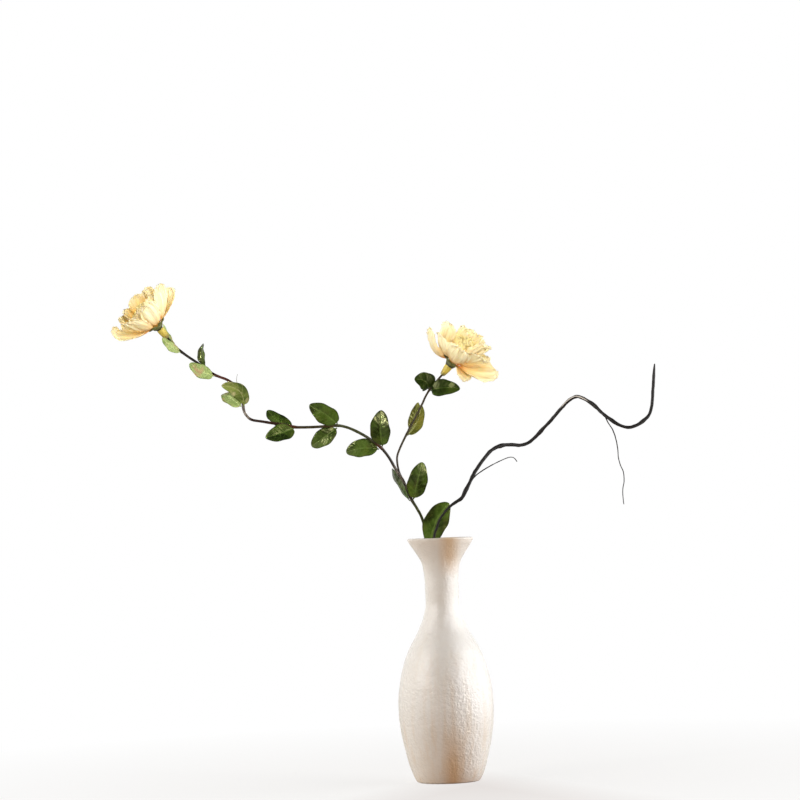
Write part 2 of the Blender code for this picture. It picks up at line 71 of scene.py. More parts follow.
FRONT = np.array([0.0, -1.0, 0.0])
LATTICE = 32                     # random numbers along each side of the noise's cube

# %% [markdown]
# ## Camera
#
# A long lens far away keeps the vase's sides nearly parallel, as a product picture does. The
# camera stands just above the lip, so that the mouth is seen almost edge on. It looks up a little
# to frame the flowers, and it is rolled by two degrees.

# %% Place the camera
CAMERA_PLACE = (-0.0352, -2.75, 0.2600)
CAMERA_PITCH = 92.52             # degrees, where 90 looks level
CAMERA_ROLL = -2
lens = bpy.data.cameras.new("camera")
lens.lens = 123.75
lens.sensor_width = 36
lens.clip_end = 50
camera = bpy.data.objects.new("camera", lens)
bpy.context.scene.collection.objects.link(camera)
camera.matrix_world = (Matrix.Translation(CAMERA_PLACE)
                       @ Matrix.Rotation(math.radians(CAMERA_PITCH), 4, "X")
                       @ Matrix.Rotation(math.radians(CAMERA_ROLL), 4, "Z"))
bpy.context.scene.camera = camera
print("camera at", CAMERA_PLACE, "lens", lens.lens)

# %% [markdown]
# ## Vectors, routes and smooth noise
#
# Small tools serve every piece. They read tables in millimetres, make vectors one unit long, turn
# a direction, measure along a line and set out grids. One carries a smooth line through given
# points, because stems bend smoothly. One gives numbers that wander gently through space: real
# surfaces are never quite regular, and a seed keeps them the same each time.


# %% Vector, route and noise tools
def mm(lengths):
    """Metres, from a number or a table of numbers in millimetres."""
    return 0.001 * np.asarray(lengths, float)


def unit(vectors):
    """Each vector divided by its length."""
    vectors = np.asarray(vectors, float)
    return vectors / np.linalg.norm(vectors, axis=-1, keepdims=True)


def square_to(vectors, heading):
    """A unit vector as near to the given one as can be, and square to the heading."""
    return unit(vectors - (vectors @ heading) * heading)


def spun(first, second, turn):
    """The first direction turned towards the second, by an angle in radians."""
    return first * math.cos(turn) + second * math.sin(turn)


def running(steps):
    """The sum of the steps so far, from zero."""
    return np.concatenate([[0], np.cumsum(steps)])


def distance_along(line):
    return running(np.linalg.norm(np.diff(line, axis=0), axis=1))


def full_turn(steps):
    return np.linspace(0, 2 * np.pi, steps, endpoint=False)


def from_rim_to_rim(columns):
    """Places from -1 to 1 across a sheet, closer together near its rims."""
    return np.sin(0.5 * np.pi * np.linspace(-1, 1, columns))[None, :]


def places(x, y, z):
    """A grid of points from coordinates that vary along it, across it or not at all."""
    return np.stack(np.broadcast_arrays(x, y, z), axis=-1)


def ring_points(centre, radius, turn, first, second):
    """The centre, plus the radius times the cosine and sine of the turn in two directions."""
    return (centre + (radius * np.cos(turn))[..., None] * first
            + (radius * np.sin(turn))[..., None] * second)


def smooth_route(points, spacing):
    """A Catmull-Rom curve through the points: between two of them it is the cubic whose slopes at
    its ends follow their neighbours. It is read again at an even spacing along its length."""
    points = np.asarray(points, float)
    ends = np.vstack([2 * points[0] - points[1], points, 2 * points[-1] - points[-2]])
    t = np.linspace(0, 1, 24, endpoint=False)[:, None]
    spans = []
    for a, b, c, d in zip(ends, ends[1:], ends[2:], ends[3:]):
        spans.append(0.5 * (2 * b + (c - a) * t + (2 * a - 5 * b + 4 * c - d) * t ** 2
                            + (3 * b - a - 3 * c + d) * t ** 3))
    curve = np.vstack(spans + [points[-1:]])
    along = distance_along(curve)
    stations = np.linspace(0, along[-1], max(2, round(along[-1] / spacing) + 1))
    return np.column_stack([np.interp(stations, along, curve[:, k]) for k in range(3)])


def wander(points, size, seed):
    """Noise from -1 to 1: random numbers on a cubic lattice of that size, blended between the
    eight corners of each cell by the smooth step 3t^2 - 2t^3."""
    lattice = np.random.default_rng(seed).uniform(-1, 1, (LATTICE, LATTICE, LATTICE))
    place = np.asarray(points, float) / size
    cell = np.floor(place).astype(int)
    t = place - cell
    t = t * t * (3 - 2 * t)
    total = np.zeros(place.shape[:-1])
    for corner in np.ndindex(2, 2, 2):
        at = (cell + corner) % LATTICE
        weight = np.prod(np.where(corner, t, 1 - t), axis=-1)
        total += weight * lattice[at[..., 0], at[..., 1], at[..., 2]]
    return total


print("wander at the origin", round(float(wander([0.0, 0.0, 0.0], 0.01, 1)), 3))

# %% [markdown]
# ## From a grid of points to a closed skin
#
# Every piece here is a stack of closed rings of points: a vase has rings round its axis, a stem
# has rings along its route, and a leaf has thin flat rings from its stalk to its tip. So the same
# faces join them all into closed meshes. A petal or a leaf starts as an open grid, which is
# wrapped in a face and a back that meet at the rim.


# %% Skins and pieces
def between_rings(count, around):
    """Four-sided faces between each ring of points and the next."""
    here = np.arange(count * around).reshape(count, around)
    after = np.roll(here, -1, axis=1)
    return here, np.stack([here[:-1], after[:-1], after[1:], here[1:]], axis=-1).reshape(-1, 4)


def facing_out(points, quads, fans):
    """The faces, turned over if the volume inside them, a sum over triangles, is negative."""
    corners = points[np.vstack([quads[:, [0, 1, 2]], quads[:, [0, 2, 3]], fans])]
    volume = np.einsum("ij,ij->", corners[:, 0], np.cross(corners[:, 1], corners[:, 2])) / 6
    return (quads[:, ::-1], fans[:, ::-1]) if volume < 0 else (quads, fans)


def shell(rings, **marks):
    """A closed skin over a stack of rings (rings x points x 3), with a fan to a pole at each end.
    Marks are values for each point, such as how far along it is."""
    count, around = rings.shape[:2]
    here, quads = between_rings(count, around)
    after = np.roll(here, -1, axis=1)
    pole = np.full(around, count * around)
    fans = np.vstack([np.stack([after[0], here[0], pole], axis=-1),
                      np.stack([here[-1], after[-1], pole + 1], axis=-1)])
    points = np.vstack([rings.reshape(-1, 3), rings[0].mean(0), rings[-1].mean(0)])
    quads, fans = facing_out(points, quads, fans)
    values = {}
    for name, value in marks.items():
        value = np.broadcast_to(value, (count, around))
        values[name] = np.concatenate([value.ravel(), [value[0].mean(), value[-1].mean()]])
    return points, quads, fans, values


def wrapped(middle, thickness, **marks):
    """A closed thin sheet: its face and its back lie half the thickness to either side of the
    middle grid, along its normals. Each ring runs out on the face and back behind, and both ends
    are closed by a strip from the face to the back."""
    rows, columns = middle.shape[:2]
    normal = unit(np.cross(np.gradient(middle, axis=1), np.gradient(middle, axis=0)))
    half = 0.5 * np.broadcast_to(thickness, (rows, columns))[..., None]
    rings = np.concatenate([middle + normal * half, (middle - normal * half)[:, ::-1]], axis=1)
    here, quads = between_rings(rows, 2 * columns)
    out, back = here[:, :columns], here[:, :columns - 1:-1]
    start = np.stack([out[0, :-1], back[0, :-1], back[0, 1:], out[0, 1:]], axis=-1)
    end = np.stack([out[-1, :-1], out[-1, 1:], back[-1, 1:], back[-1, :-1]], axis=-1)
    points = rings.reshape(-1, 3)
    none = np.zeros((0, 3), int)
    quads, _ = facing_out(points, np.vstack([quads, start, end]), none)
    values = {"face": np.repeat([[1.0, 0.0]], columns, axis=1) + np.zeros((rows, 1))}
    for name, value in marks.items():
        value = np.broadcast_to(value, (rows, columns))
        values[name] = np.concatenate([value, value[:, ::-1]], axis=1)
    return points, quads, none, {name: value.ravel() for name, value in values.items()}


def off_by(piece, node):
    """How far the piece's box stands from its solid's box, in millimetres, at the worst side."""
    box = np.array([corner[:] for corner in piece.bound_box])
    low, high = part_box(node)
    return 1000 * max(abs(box.min(0) - np.array(low)).max(), abs(box.max(0) - np.array(high)).max())


def add_piece(name, skins, node, finish):
    """A finished piece of one or more skins, which stands for its node and rides with the body."""
    points, quads, fans, start = [], [], [], 0
    for skin_points, skin_quads, skin_fans, _ in skins:
        points.append(skin_points)
        quads.append(skin_quads + start)
        fans.append(skin_fans + start)
        start += len(skin_points)
    quads, fans = np.vstack(quads), np.vstack(fans)
    corners = np.concatenate([quads.ravel(), fans.ravel()])
    sizes = np.concatenate([np.full(len(quads), 4), np.full(len(fans), 3)])
    mesh = bpy.data.meshes.new(name)
    mesh.vertices.add(start)
    mesh.vertices.foreach_set("co", np.vstack(points).astype(np.float32).ravel())
    mesh.loops.add(len(corners))
    mesh.loops.foreach_set("vertex_index", corners.astype(np.int32))
    mesh.polygons.add(len(sizes))
    mesh.polygons.foreach_set("loop_start", (np.cumsum(sizes) - sizes).astype(np.int32))
    mesh.update(calc_edges=True)
    mesh.validate()
    mesh.shade_smooth()
    for mark in skins[0][3]:
        values = np.concatenate([skin[3][mark] for skin in skins])
        attribute = mesh.attributes.new(mark, "FLOAT", "POINT")
        attribute.data.foreach_set("value", values.astype(np.float32))
    mesh.materials.append(finish)
    piece = bpy.data.objects.new(name, mesh)
    bpy.context.scene.collection.objects.link(piece)
    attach(piece, "root")
    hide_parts(node)
    print(name, "faces", len(sizes), "off by mm", round(off_by(piece, node), 2))


# %% [markdown]
# ## Node tools for the finishes
#
# A finish is a small network: noise and marks go through ramps into the colour, the roughness
# and a bump. A value is whatever a node works out, and arithmetic on values adds the nodes that
# do it, so that a finish reads like a formula. A mark is a value that the shape function left on
# the mesh, such as the distance along a petal.


# %% Shader helpers
class Value:
    """What a node works out: a number, a colour or a vector. Arithmetic on it adds Math nodes."""

    def __init__(self, socket):
        self.socket, self.tree = socket, socket.id_data

    def maths(self, operation, other=0.0):
        return value_of(self.tree, "ShaderNodeMath", {0: self, 1: other}, operation=operation)

    def __add__(self, other):
        return self.maths("ADD", other)

    def __sub__(self, other):
        return self.maths("SUBTRACT", other)

    def __mul__(self, other):
        return self.maths("MULTIPLY", other)

    def __abs__(self):
        return self.maths("ABSOLUTE")


def plug(socket, value):
    """Link the socket to a value, or set it to a number, a vector or a colour."""
    if isinstance(value, Value):
        value.tree.links.new(value.socket, socket)
    elif isinstance(value, tuple) and len(value) < len(socket.default_value):
        socket.default_value = (*value, 1.0)
    else:
        socket.default_value = value


def plug_all(node, sockets):
    for name, value in sockets.items():
        plug(node.inputs[name], value)


def add_node(tree, kind, sockets=(), **settings):
    node = tree.nodes.new(kind)
    for name, value in settings.items():
        setattr(node, name, value)
    plug_all(node, dict(sockets))
    return node


def value_of(tree, kind, sockets=(), output=0, **settings):
    """One shader node, as the value of one of its outputs."""
    return Value(add_node(tree, kind, sockets, **settings).outputs[output])


def new_finish(name):
    made = bpy.data.materials.new(name)
    made.use_nodes = True
    return made, made.node_tree, made.node_tree.nodes["Principled BSDF"]


def mark_of(tree, name):
    return value_of(tree, "ShaderNodeAttribute", output="Fac", attribute_name=name)


def place_on(tree):
    """Where a point is, in the object's own coordinates."""
    return value_of(tree, "ShaderNodeTexCoord", output="Object")


def noise(tree, scale, detail=3.0, vector=None):
    """Fractal noise on the object's own coordinates, or on a given vector."""
    sockets = {"Vector": vector or place_on(tree), "Scale": scale, "Detail": detail}
    return value_of(tree, "ShaderNodeTexNoise", sockets)


def patches(tree, scale, low, high, detail=2.0):
    """Soft patches: noise, read as levels."""
    return levels(noise(tree, scale, detail), low, high)


def parts_of(vector, count=3):
    return [value_of(vector.tree, "ShaderNodeSeparateXYZ", {0: vector}, axis)
            for axis in range(count)]


def ramp(value, stops):
    """A colour for each place along a value: stops are (place, colour), in linear light."""
    node = add_node(value.tree, "ShaderNodeValToRGB", {0: value})
    elements = node.color_ramp.elements
    while len(elements) < len(stops):
        elements.new(0.5)
    for element, (place, colour) in zip(elements, stops):
        element.position = place
        element.color = (*colour, 1.0)
    return Value(node.outputs[0])


def levels(value, low, high):
    """0 below low, 1 above high, and even in between. Low may be above high."""
    sockets = {"Value": value, "From Min": low, "From Max": high}
    return value_of(value.tree, "ShaderNodeMapRange", sockets)


def blend(share, first, second):
    """The first colour where the share is 0, the second where it is 1."""
    return value_of(share.tree, "ShaderNodeMix", {0: share, 6: first, 7: second}, 2,
                    data_type="RGBA")


def raise_by(shader, height, distance, socket="Normal"):
    """Bump: the shading behaves as if the surface rose by the distance where the height is 1."""
    bump = value_of(height.tree, "ShaderNodeBump", {"Height": height, "Distance": distance})
    plug(shader.inputs[socket], bump)


# %% [markdown]
# ## The vase's glaze
#
# The vase is stoneware under a warm white glaze that crawled a little in the kiln, so it is
# covered in soft pebbles two or three millimetres across. The pebbles are in the mesh, and finer
# wrinkles are a bump: weak in the clay, strong in the clear coat, where each one catches a lamp
# and sparkles. The colour is a little browner in the pebbles' valleys and in long runs down the
# belly. Warm painted shade lies at the foot and under the lip, most of all in a band down the
# middle.

# %% Glaze finish
# painted shade: warm brown at the foot, on the left and middle, and under the lip
SHADE_AT_FOOT = (0.080, 0.0)      # each pair of heights: where it begins and where it is full
FOOT_SHADE_ACROSS = (0.026, 0.006)
SHADE_AT_LIP = (0.205, 0.238)
SHADE_BAND_AT_FOOT = (0.060, 0.020)
SHADE_BAND_AT_LIP = (0.200, 0.224)
SHADE_BAND_EDGE = (0.0125, 0.002)    # distances from the painted shade band's middle, which leans a little
SHADE_BAND_MIDDLE = 0.0042
SHADE_BAND_LEAN = 0.018
RUN_HEIGHTS = (0.16, 0.03)
RUN_STRETCH = (150.0, 150.0, 7.0)
WRINKLES = 280.0                 # how many wrinkles lie along a metre, more or less
CLAY_BUMP = 0.00014
COAT_BUMP = 0.00080


def glaze_finish():
    made, tree, shader = new_finish("glaze")
    height, place = mark_of(tree, "height"), place_on(tree)
    across, = parts_of(place, 1)
    clay = blend(patches(tree, 18.0, 0.35, 0.7), (0.92, 0.9, 0.87), (0.86, 0.83, 0.78))
    # painted shade at the foot and under the lip, in a warm brown
    painted_shade = (levels(height, *SHADE_AT_FOOT) * levels(across, *FOOT_SHADE_ACROSS) * 0.36
            + levels(height, *SHADE_AT_LIP) * 0.34)
    colour = blend(painted_shade, clay, (0.76, 0.6, 0.44))
    # painted shade: a warm brown band down the middle, strongest at the foot and under the lip
    aside = abs(across - (height * SHADE_BAND_LEAN + SHADE_BAND_MIDDLE))
    ends = levels(height, *SHADE_BAND_AT_FOOT) + levels(height, *SHADE_BAND_AT_LIP)
    colour = blend(levels(aside, *SHADE_BAND_EDGE) * ends * 0.70, colour, (0.67, 0.41, 0.17))
    drawn = value_of(tree, "ShaderNodeVectorMath", {0: place, 1: RUN_STRETCH},
                     operation="MULTIPLY")
    runs = levels(noise(tree, 1.0, 3.0, drawn), 0.48, 0.72) * levels(height, *RUN_HEIGHTS)
    colour = blend(runs * 0.50, colour, (0.76, 0.6, 0.42))
    valleys = levels(mark_of(tree, "pebble"), 0.0, -0.7)
    colour = blend(valleys * 0.18, colour, (0.72, 0.64, 0.55))
    fine = noise(tree, 900.0)
    plug_all(shader, {"Base Color": colour, "Roughness": levels(fine, -1.2, 2.6),
                      "Coat Weight": 0.90, "Coat Roughness": 0.06, "Coat IOR": 1.8})
    skin = abs(noise(tree, WRINKLES, 2.0) - 0.5) * 3.0 + fine * 0.12
    raise_by(shader, skin, CLAY_BUMP)
    raise_by(shader, skin, COAT_BUMP, "Coat Normal")
    return made


GLAZE = glaze_finish()
print("finish", GLAZE.name, "nodes", len(GLAZE.node_tree.nodes))

# %% [markdown]
# ## The vase
#
# A thrown vase is one profile turned round its axis. The outer line is a smooth curve through a
# few driving sections: foot, belly, shoulder, throat and lip. The same line, moved in by the
# wall's thickness, makes the hollow. A Screw modifier could turn it, but working out the whole
# grid lets the pebbles be raised along the normals at once.

# %% Turn the vase
VASE_LOW, VASE_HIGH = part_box("vase")
VASE_HEIGHT = VASE_HIGH.z
BELLY_RADIUS = 0.5 * (VASE_HIGH.y - VASE_LOW.y)
VASE_WALL = 0.0045
VASE_FLOOR = 0.008
LIP_RADIUS = 0.033
LIP_ROUND = 0.0018
FOOT_RADIUS = 0.0290
FOOT_ROUND = 0.0035
PEBBLE = 0.0026                  # how far apart the pebbles are
PEBBLE_RISE = 0.00024
THROW = 0.02                     # size and rise of the slow unevenness left by the hands
THROW_RISE = 0.0002
HOLLOW_TOP = 0.232               # where the walls end and the lip or the foot's round begins
SIDE_TOP = 0.236
SIDE_FOOT = 0.0055
VASE_STEPS = 256                 # round the axis


def vase_outer(height):
    """Outer radius at a height: cubic pieces through the driving sections, whose slopes come from
    their neighbours."""
    heights = np.array([0.000, 0.010, 0.034, 0.070, 0.100, 0.130, 0.154, 0.172, 0.190, 0.206,
                        0.220, 0.232, 0.2395])
    radii = np.array([0.0316, 0.0358, 0.0425, BELLY_RADIUS, 0.0449, 0.0360, 0.0232, 0.0172,
                      0.0168, 0.0173, 0.0203, 0.0277, 0.0326])
    slopes = np.gradient(radii, heights)
    k = np.clip(np.searchsorted(heights, height) - 1, 0, len(heights) - 2)
    span = heights[k + 1] - heights[k]
    t = (height - heights[k]) / span
    return ((2 * t ** 3 - 3 * t ** 2 + 1) * radii[k] + (t ** 3 - 2 * t ** 2 + t) * span * slopes[k]
            + (3 * t ** 2 - 2 * t ** 3) * radii[k + 1] + (t ** 3 - t ** 2) * span * slopes[k + 1])


def arc(centre, radius, first, last, steps):
    """Points (radius, height) round a circle, from the first to the last angle in degrees."""
    angle = np.radians(np.linspace(first, last, steps))
    return np.column_stack([centre[0] + radius * np.cos(angle), centre[1] + radius * np.sin(angle)])


def vase_profile():
    """Half the vase's section, from the middle of its floor up the hollow, over the lip and down
    its outside to the middle of its foot, and how strongly each point is pebbled."""
    inside = np.linspace(VASE_FLOOR + 0.004, HOLLOW_TOP, 60)
    outside = np.linspace(SIDE_TOP, SIDE_FOOT, 215)
    floor = np.column_stack([np.linspace(0.002, 0.026, 8), np.full(8, VASE_FLOOR)])
    inner = np.column_stack([vase_outer(inside) - VASE_WALL, inside])
    lip = arc((LIP_RADIUS - LIP_ROUND, VASE_HEIGHT - LIP_ROUND), LIP_ROUND, 180, 0, 12)
    outer = np.column_stack([vase_outer(outside), outside])
    foot = arc((FOOT_RADIUS, FOOT_ROUND), FOOT_ROUND, -25, -90, 6)
    under = np.column_stack([np.linspace(FOOT_RADIUS - 0.002, 0.002, 8), np.zeros(8)])
    parts = [floor, inner, lip, outer, foot, under]
    strength = [0.1, 0.5, 0.5, 1.0, 0.5, 0.0]
    pebbled = np.concatenate([np.full(len(p), s) for p, s in zip(parts, strength)])
    return np.vstack(parts), pebbled


def vase_rings():
    """The profile turned in even steps and raised along its normals by the pebbles: noise of one
    pebble's size, sharpened so that the tops are round and the valleys narrow."""
    profile, pebbled = vase_profile()
    turn = full_turn(VASE_STEPS)
    radius, height = profile[:, :1], profile[:, 1:]
    rings = places(radius * np.cos(turn), radius * np.sin(turn), height)
    slope = unit(np.gradient(profile, axis=0))
    normal = places(-slope[:, 1:] * np.cos(turn), -slope[:, 1:] * np.sin(turn), slope[:, :1])
    coarse, fine = (1 - 2 * np.abs(wander(rings, size * PEBBLE, seed)) ** 0.8
                    for size, seed in ((1.0, 11), (0.55, 12)))
    pebble = 0.65 * coarse + 0.35 * fine
    throw = THROW_RISE * wander(rings * [1, 1, 2.5], THROW, 13)
    rise = pebbled[:, None] * (PEBBLE_RISE * pebble + throw)
    return rings + normal * rise[..., None], pebble, height


vase_points, vase_pebble, vase_height = vase_rings()
add_piece("glazed_vase", [shell(vase_points, pebble=vase_pebble, height=vase_height)], "vase",
          GLAZE)

# %% [markdown]
# ## Bark
#
# The flower stem is young wood: dark brown and smooth, redder at the joints where leaves grow,
# and still green near the vase and round the first bends. Its pale streaks between the lower
# joint and the fork, and at the elbow, are painted highlights. The twig is older and nearly black,
# with a dry, furrowed skin. Both finishes read how far round and along the tube a point is, so
# their furrows follow every bend.


# %% Bark finishes
def bark_vector(tree, round_scale, along_scale):
    """Coordinates that follow the tube: the angle round it and the distance along it."""
    return value_of(tree, "ShaderNodeCombineXYZ", {0: mark_of(tree, "turn") * round_scale,
                                                   1: mark_of(tree, "along") * along_scale})


STEM_WOOD = [(0.25, (0.006, 0.004, 0.003)), (0.55, (0.02, 0.012, 0.008)),
             (0.80, (0.09, 0.06, 0.042))]
STEM_PATCHES = {                 # the marks that recolour the wood, furrow by furrow; the pale one paints highlights
    "green": [(0.25, (0.022, 0.028, 0.005)), (0.60, (0.08, 0.095, 0.018)),
              (0.85, (0.23, 0.25, 0.09))],
    "red": [(0.25, (0.08, 0.012, 0.006)), (0.70, (0.22, 0.055, 0.022))],
    "pale": [(0.34, (0.03, 0.02, 0.015)), (0.60, (0.62, 0.55, 0.46))],
}
TWIG_WOOD = [(0.30, (0.0036, 0.003, 0.0024)), (0.60, (0.012, 0.009, 0.0072)),
             (0.82, (0.051, 0.0396, 0.0324))]


def stem_finish():
    made, tree, shader = new_finish("bark_brown")
    furrow = noise(tree, 1.0, 4.0, bark_vector(tree, 5.0, 260.0))
    colour = ramp(furrow, STEM_WOOD)
    for mark, stops in STEM_PATCHES.items():
        colour = blend(mark_of(tree, mark), colour, ramp(furrow, stops))
    plug_all(shader, {"Base Color": colour, "Roughness": patches(tree, 220.0, -0.3, 1.4),
                      "Specular IOR Level": 0.28})
    raise_by(shader, furrow, 0.00010)
    return made


def twig_finish():
    made, tree, shader = new_finish("twig_black")
    furrow = noise(tree, 1.0, 5.0, bark_vector(tree, 6.0, 190.0))
    colour = blend(mark_of(tree, "split"), ramp(furrow, TWIG_WOOD), (0.86, 0.82, 0.76))
    plug_all(shader, {"Base Color": colour, "Roughness": patches(tree, 700.0, -0.6, 1.3),
                      "Specular IOR Level": 0.30})
    raise_by(shader, furrow, 0.00018)
    return made


STEM_BARK = stem_finish()
TWIG_BARK = twig_finish()
print("finishes", STEM_BARK.name, TWIG_BARK.name)

# %% [markdown]
# ## Sweeping a tube along a route
#
# A stem is a circle carried along a line. The circle must not spin as it goes, or the bark would
# be wrung like a cloth, so each ring's first direction is the last one's, made square to the new
# heading. The radius changes along the way: it tapers, and it swells at every joint.


# %% Sweep tool
FURROWS = 3                      # round a tube
WINDING = 60                     # radians that they wind round it in a metre
RIPPLES = 300                    # along a metre


def swept(route, radii, sides, seed, furrows=0.06, ripple=0.05):
    """Rings of a tube: circles of points round the route, in two directions square to its
    heading. Furrows run along it, and ripples come and go with noise."""
    heading = unit(np.gradient(route, axis=0))
    across = [unit(np.cross(heading[0], [0.3, 1.0, 0.2]))]
    for ahead in heading[1:]:
        across.append(square_to(across[-1], ahead))
    across = np.array(across)
    beside = np.cross(heading, across)
    turn = full_turn(sides)
    along = distance_along(route)[:, None]
    bent = FURROWS * turn + WINDING * along
    relief = furrows * np.cos(bent) + furrows * np.cos(2.3 * bent + 1.0)
    round_it = places(np.cos(turn), np.sin(turn), along * RIPPLES)
    reach = radii[:, None] * (1 + (relief + ripple * wander(round_it, 1.0, seed)))
    rings = ring_points(route[:, None], reach, turn, across[:, None], beside[:, None])
    return rings, {"turn": np.abs(turn / np.pi - 1), "along": along}


def swelling(route, centres, spread, height):
    """A rise of that height at each centre on the route, which fades as a bell curve."""
    away = np.linalg.norm(route[:, None] - np.asarray(centres), axis=2)
    return (height * np.exp(-(away / spread) ** 2)).max(axis=1)


def along_x(route, stops):
    """A value along the stem, read from (x, value) stops where it crosses them."""
    x, values = zip(*sorted(stops))
    return np.interp(route[:, 0], mm(x), values)[:, None]


print("a furrow winds round once in metres", round(2 * math.pi * FURROWS / WINDING, 3))


# %% [markdown]
# ## The flower stem
#
# The stem stands on the vase's floor, leans on the mouth and arches to the left. A side branch
# leaves it above the mouth and carries the other flower. Leaves grow in pairs at the joints, and
# the stem is thicker and redder there. The thin dry tendril at the elbow is an old leaf stalk.

# %% Stem and side branch
STEM_ROUTE = mm([
    (24, 8.5, 9.1), (16, 8.3, 60), (6.3, 8.1, 120), (-3.4, 8, 180), (-13, 8, 242), (-17, 8, 261),
    (-22, 7, 272), (-27, 6, 281), (-31, 5, 291), (-35, 4, 301), (-39, 3, 307), (-44, 2, 316),
    (-49, 0, 325), (-55, -3, 333), (-63, -6, 340), (-73, -10, 347), (-84, -14, 353),
    (-92, -17, 356), (-99, -20, 357), (-110, -24, 356.5), (-122, -28, 356), (-134, -31, 356),
    (-141, -32, 356.5), (-151, -33, 359), (-162, -34, 361), (-172, -34, 363), (-182, -33, 365),
    (-187, -32, 369), (-190, -30, 375), (-191, -28, 383), (-193, -25, 392), (-198, -22, 400),
    (-206, -20, 406), (-214, -18, 409.5), (-220, -16, 412.5), (-228, -13, 419),
    (-237, -10, 425.5), (-246, -8, 432), (-253.5, -6, 438), (-260, -4.5, 444.5),
    (-265.5, -4, 451.2),
])
SIDE_ROUTE = mm([
    (-33.5, 4.5, 298), (-36, 4.5, 303), (-38.5, 5, 309), (-40, 6, 317), (-40, 8, 325),
    (-37, 10, 333), (-33, 12, 341), (-28, 14, 350), (-23, 16, 359), (-18, 17, 368),
    (-13, 18, 377), (-9, 18, 385), (-4, 18, 392.5), (2, 17.5, 399), (7.8, 16.5, 405.5),
])
TENDRIL_ROUTE = mm([
    (-193, -26.5, 391.5), (-195.5, -30, 401), (-196.2, -32, 406), (-195, -32.5, 411),
])
STEM_RADIUS = 0.00175
BRANCH_RADIUS = 0.00135
STEM_FINE = 0.90                 # the skin is a little finer than the solid
SIDE_BRANCH_RADIUS = 0.00115
TENDRIL_RADIUS = 0.00040
LEAF_JOINTS = {
    "mouth": ("stem", (-12, 8, 230)), "lower": ("stem", (-26, 6, 281)),
    "fork": ("stem", (-56, -3, 334)), "arch": ("stem", (-98.5, -20, 357)),
    "bend": ("stem", (-141.5, -32, 356.5)), "elbow": ("stem", (-190, -29, 378.5)),
    "rise_low": ("stem", (-218, -16, 411)), "rise_high": ("stem", (-229, -13, 419.5)),
    "bud_low": ("stem", (-252, -6, 437)), "bud_high": ("stem", (-259, -5, 443)),
    "olive_low": ("side", (-29.5, 13.5, 347)), "olive_high": ("side", (-27, 14, 352)),
    "top": ("side", (-5, 18, 391)),
}
JOINTS = [mm(place) for _, place in LEAF_JOINTS.values()]
# Where along x the stem is green, red and pale with painted highlights, and how much.
GREEN_STOPS = [(-270, 0.6), (-255, 0), (-146, 0), (-136, 0.4), (-112, 0.5), (-96, 0.9), (-78, 0.8),
               (-66, 0.5), (-56, 0.2), (-46, 0), (-28, 0.1), (-22, 0.9), (30, 0.9)]
RED_STOPS = [(-222, 0), (-212, 0.9), (-200, 0.1), (-150, 0.2), (-144, 0.6), (-134, 0.1),
             (-116, 0.1), (-106, 0.3), (-98, 0), (-63, 0), (-58, 0.6), (-53, 0)]
HIGHLIGHT_STOPS = [(-191, 0), (-189, 0.7), (-186, 0.6), (-183, 0), (-46, 0), (-41, 0.35), (-37, 0.45),
              (-31, 0.3), (-26, 0)]


def stem_skin(route, radii, seed, green, red, pale, sides=18):
    rings, marks = swept(route, radii, sides, seed)
    return shell(rings, green=green, red=red, pale=pale, **marks)


stem_line = smooth_route(STEM_ROUTE, 0.0012)
stem_radii = STEM_FINE * np.linspace(STEM_RADIUS, BRANCH_RADIUS, len(stem_line))
stem_swell = swelling(stem_line, JOINTS, 0.0030, 0.18)
side_line = smooth_route(SIDE_ROUTE, 0.0010)
side_radii = np.full(len(side_line), STEM_FINE * SIDE_BRANCH_RADIUS)
side_swell = swelling(side_line, JOINTS + [SIDE_ROUTE[0]], 0.0030, 0.18)
side_green = np.interp(side_line[:, 2], [0.30, 0.335, 0.35, 0.40], [0.0, 0.5, 0.7, 0.2])[:, None]
tendril_line = smooth_route(TENDRIL_ROUTE, 0.0008)
tendril_radii = np.linspace(TENDRIL_RADIUS, 0.4 * TENDRIL_RADIUS, len(tendril_line))
stem_skins = [
    stem_skin(stem_line, stem_radii * (1 + stem_swell), 21, along_x(stem_line, GREEN_STOPS),
              along_x(stem_line, RED_STOPS), along_x(stem_line, HIGHLIGHT_STOPS)),
    stem_skin(side_line, side_radii * (1 + side_swell), 22, side_green, 0.15, 0.0),
    # the tendril's pale share is its dry skin and a painted highlight
    stem_skin(tendril_line, tendril_radii, 23, 0.5, 0.0, 0.5, 8),
]
add_piece("bark_stem", stem_skins, "flower_stem", STEM_BARK)

# %% [markdown]
# ## The twig
#
# The twig is a dry curly shoot. It is a little flattened and knotty, and it is split where it
# turns over its arch, so the pale wood shows. Two hair-thin shoots hang from it. Its knots are
# bell-shaped rises at chosen places, on the same sweep as the stem.

# %% Twig and its shoots
TWIG_ROUTE = mm([
    (-20, 13, 8.7), (-17.5, 9, 60), (-13.5, 3, 120), (-9.5, -3.2, 170), (-8.5, -5.3, 192),
    (-7.6, -7.2, 215), (-6, -9, 243), (-3, -10, 252), (0, -11, 260), (5, -12, 267),
    (11, -12, 273), (17, -12, 277), (23, -11, 281), (27, -9, 288), (31, -6, 295), (35, -3, 303),
    (41, 1, 312), (48, 5, 321), (55, 9, 328), (64, 13, 332), (74, 17, 333), (84, 20, 332),
    (92, 22, 334), (99, 22, 339), (108, 21, 348), (117, 18, 357), (126, 13, 367), (134, 8, 375),
    (142, 3, 378.5), (150, -3, 375), (158, -8, 369), (165, -13, 361), (173, -17, 354),
    (181, -20, 348), (190, -21, 345), (199, -20, 347), (207, -18, 352), (212.5, -16, 358),
    (215.5, -14, 368), (217, -12, 381), (218.5, -10, 395), (220, -9, 408),
])
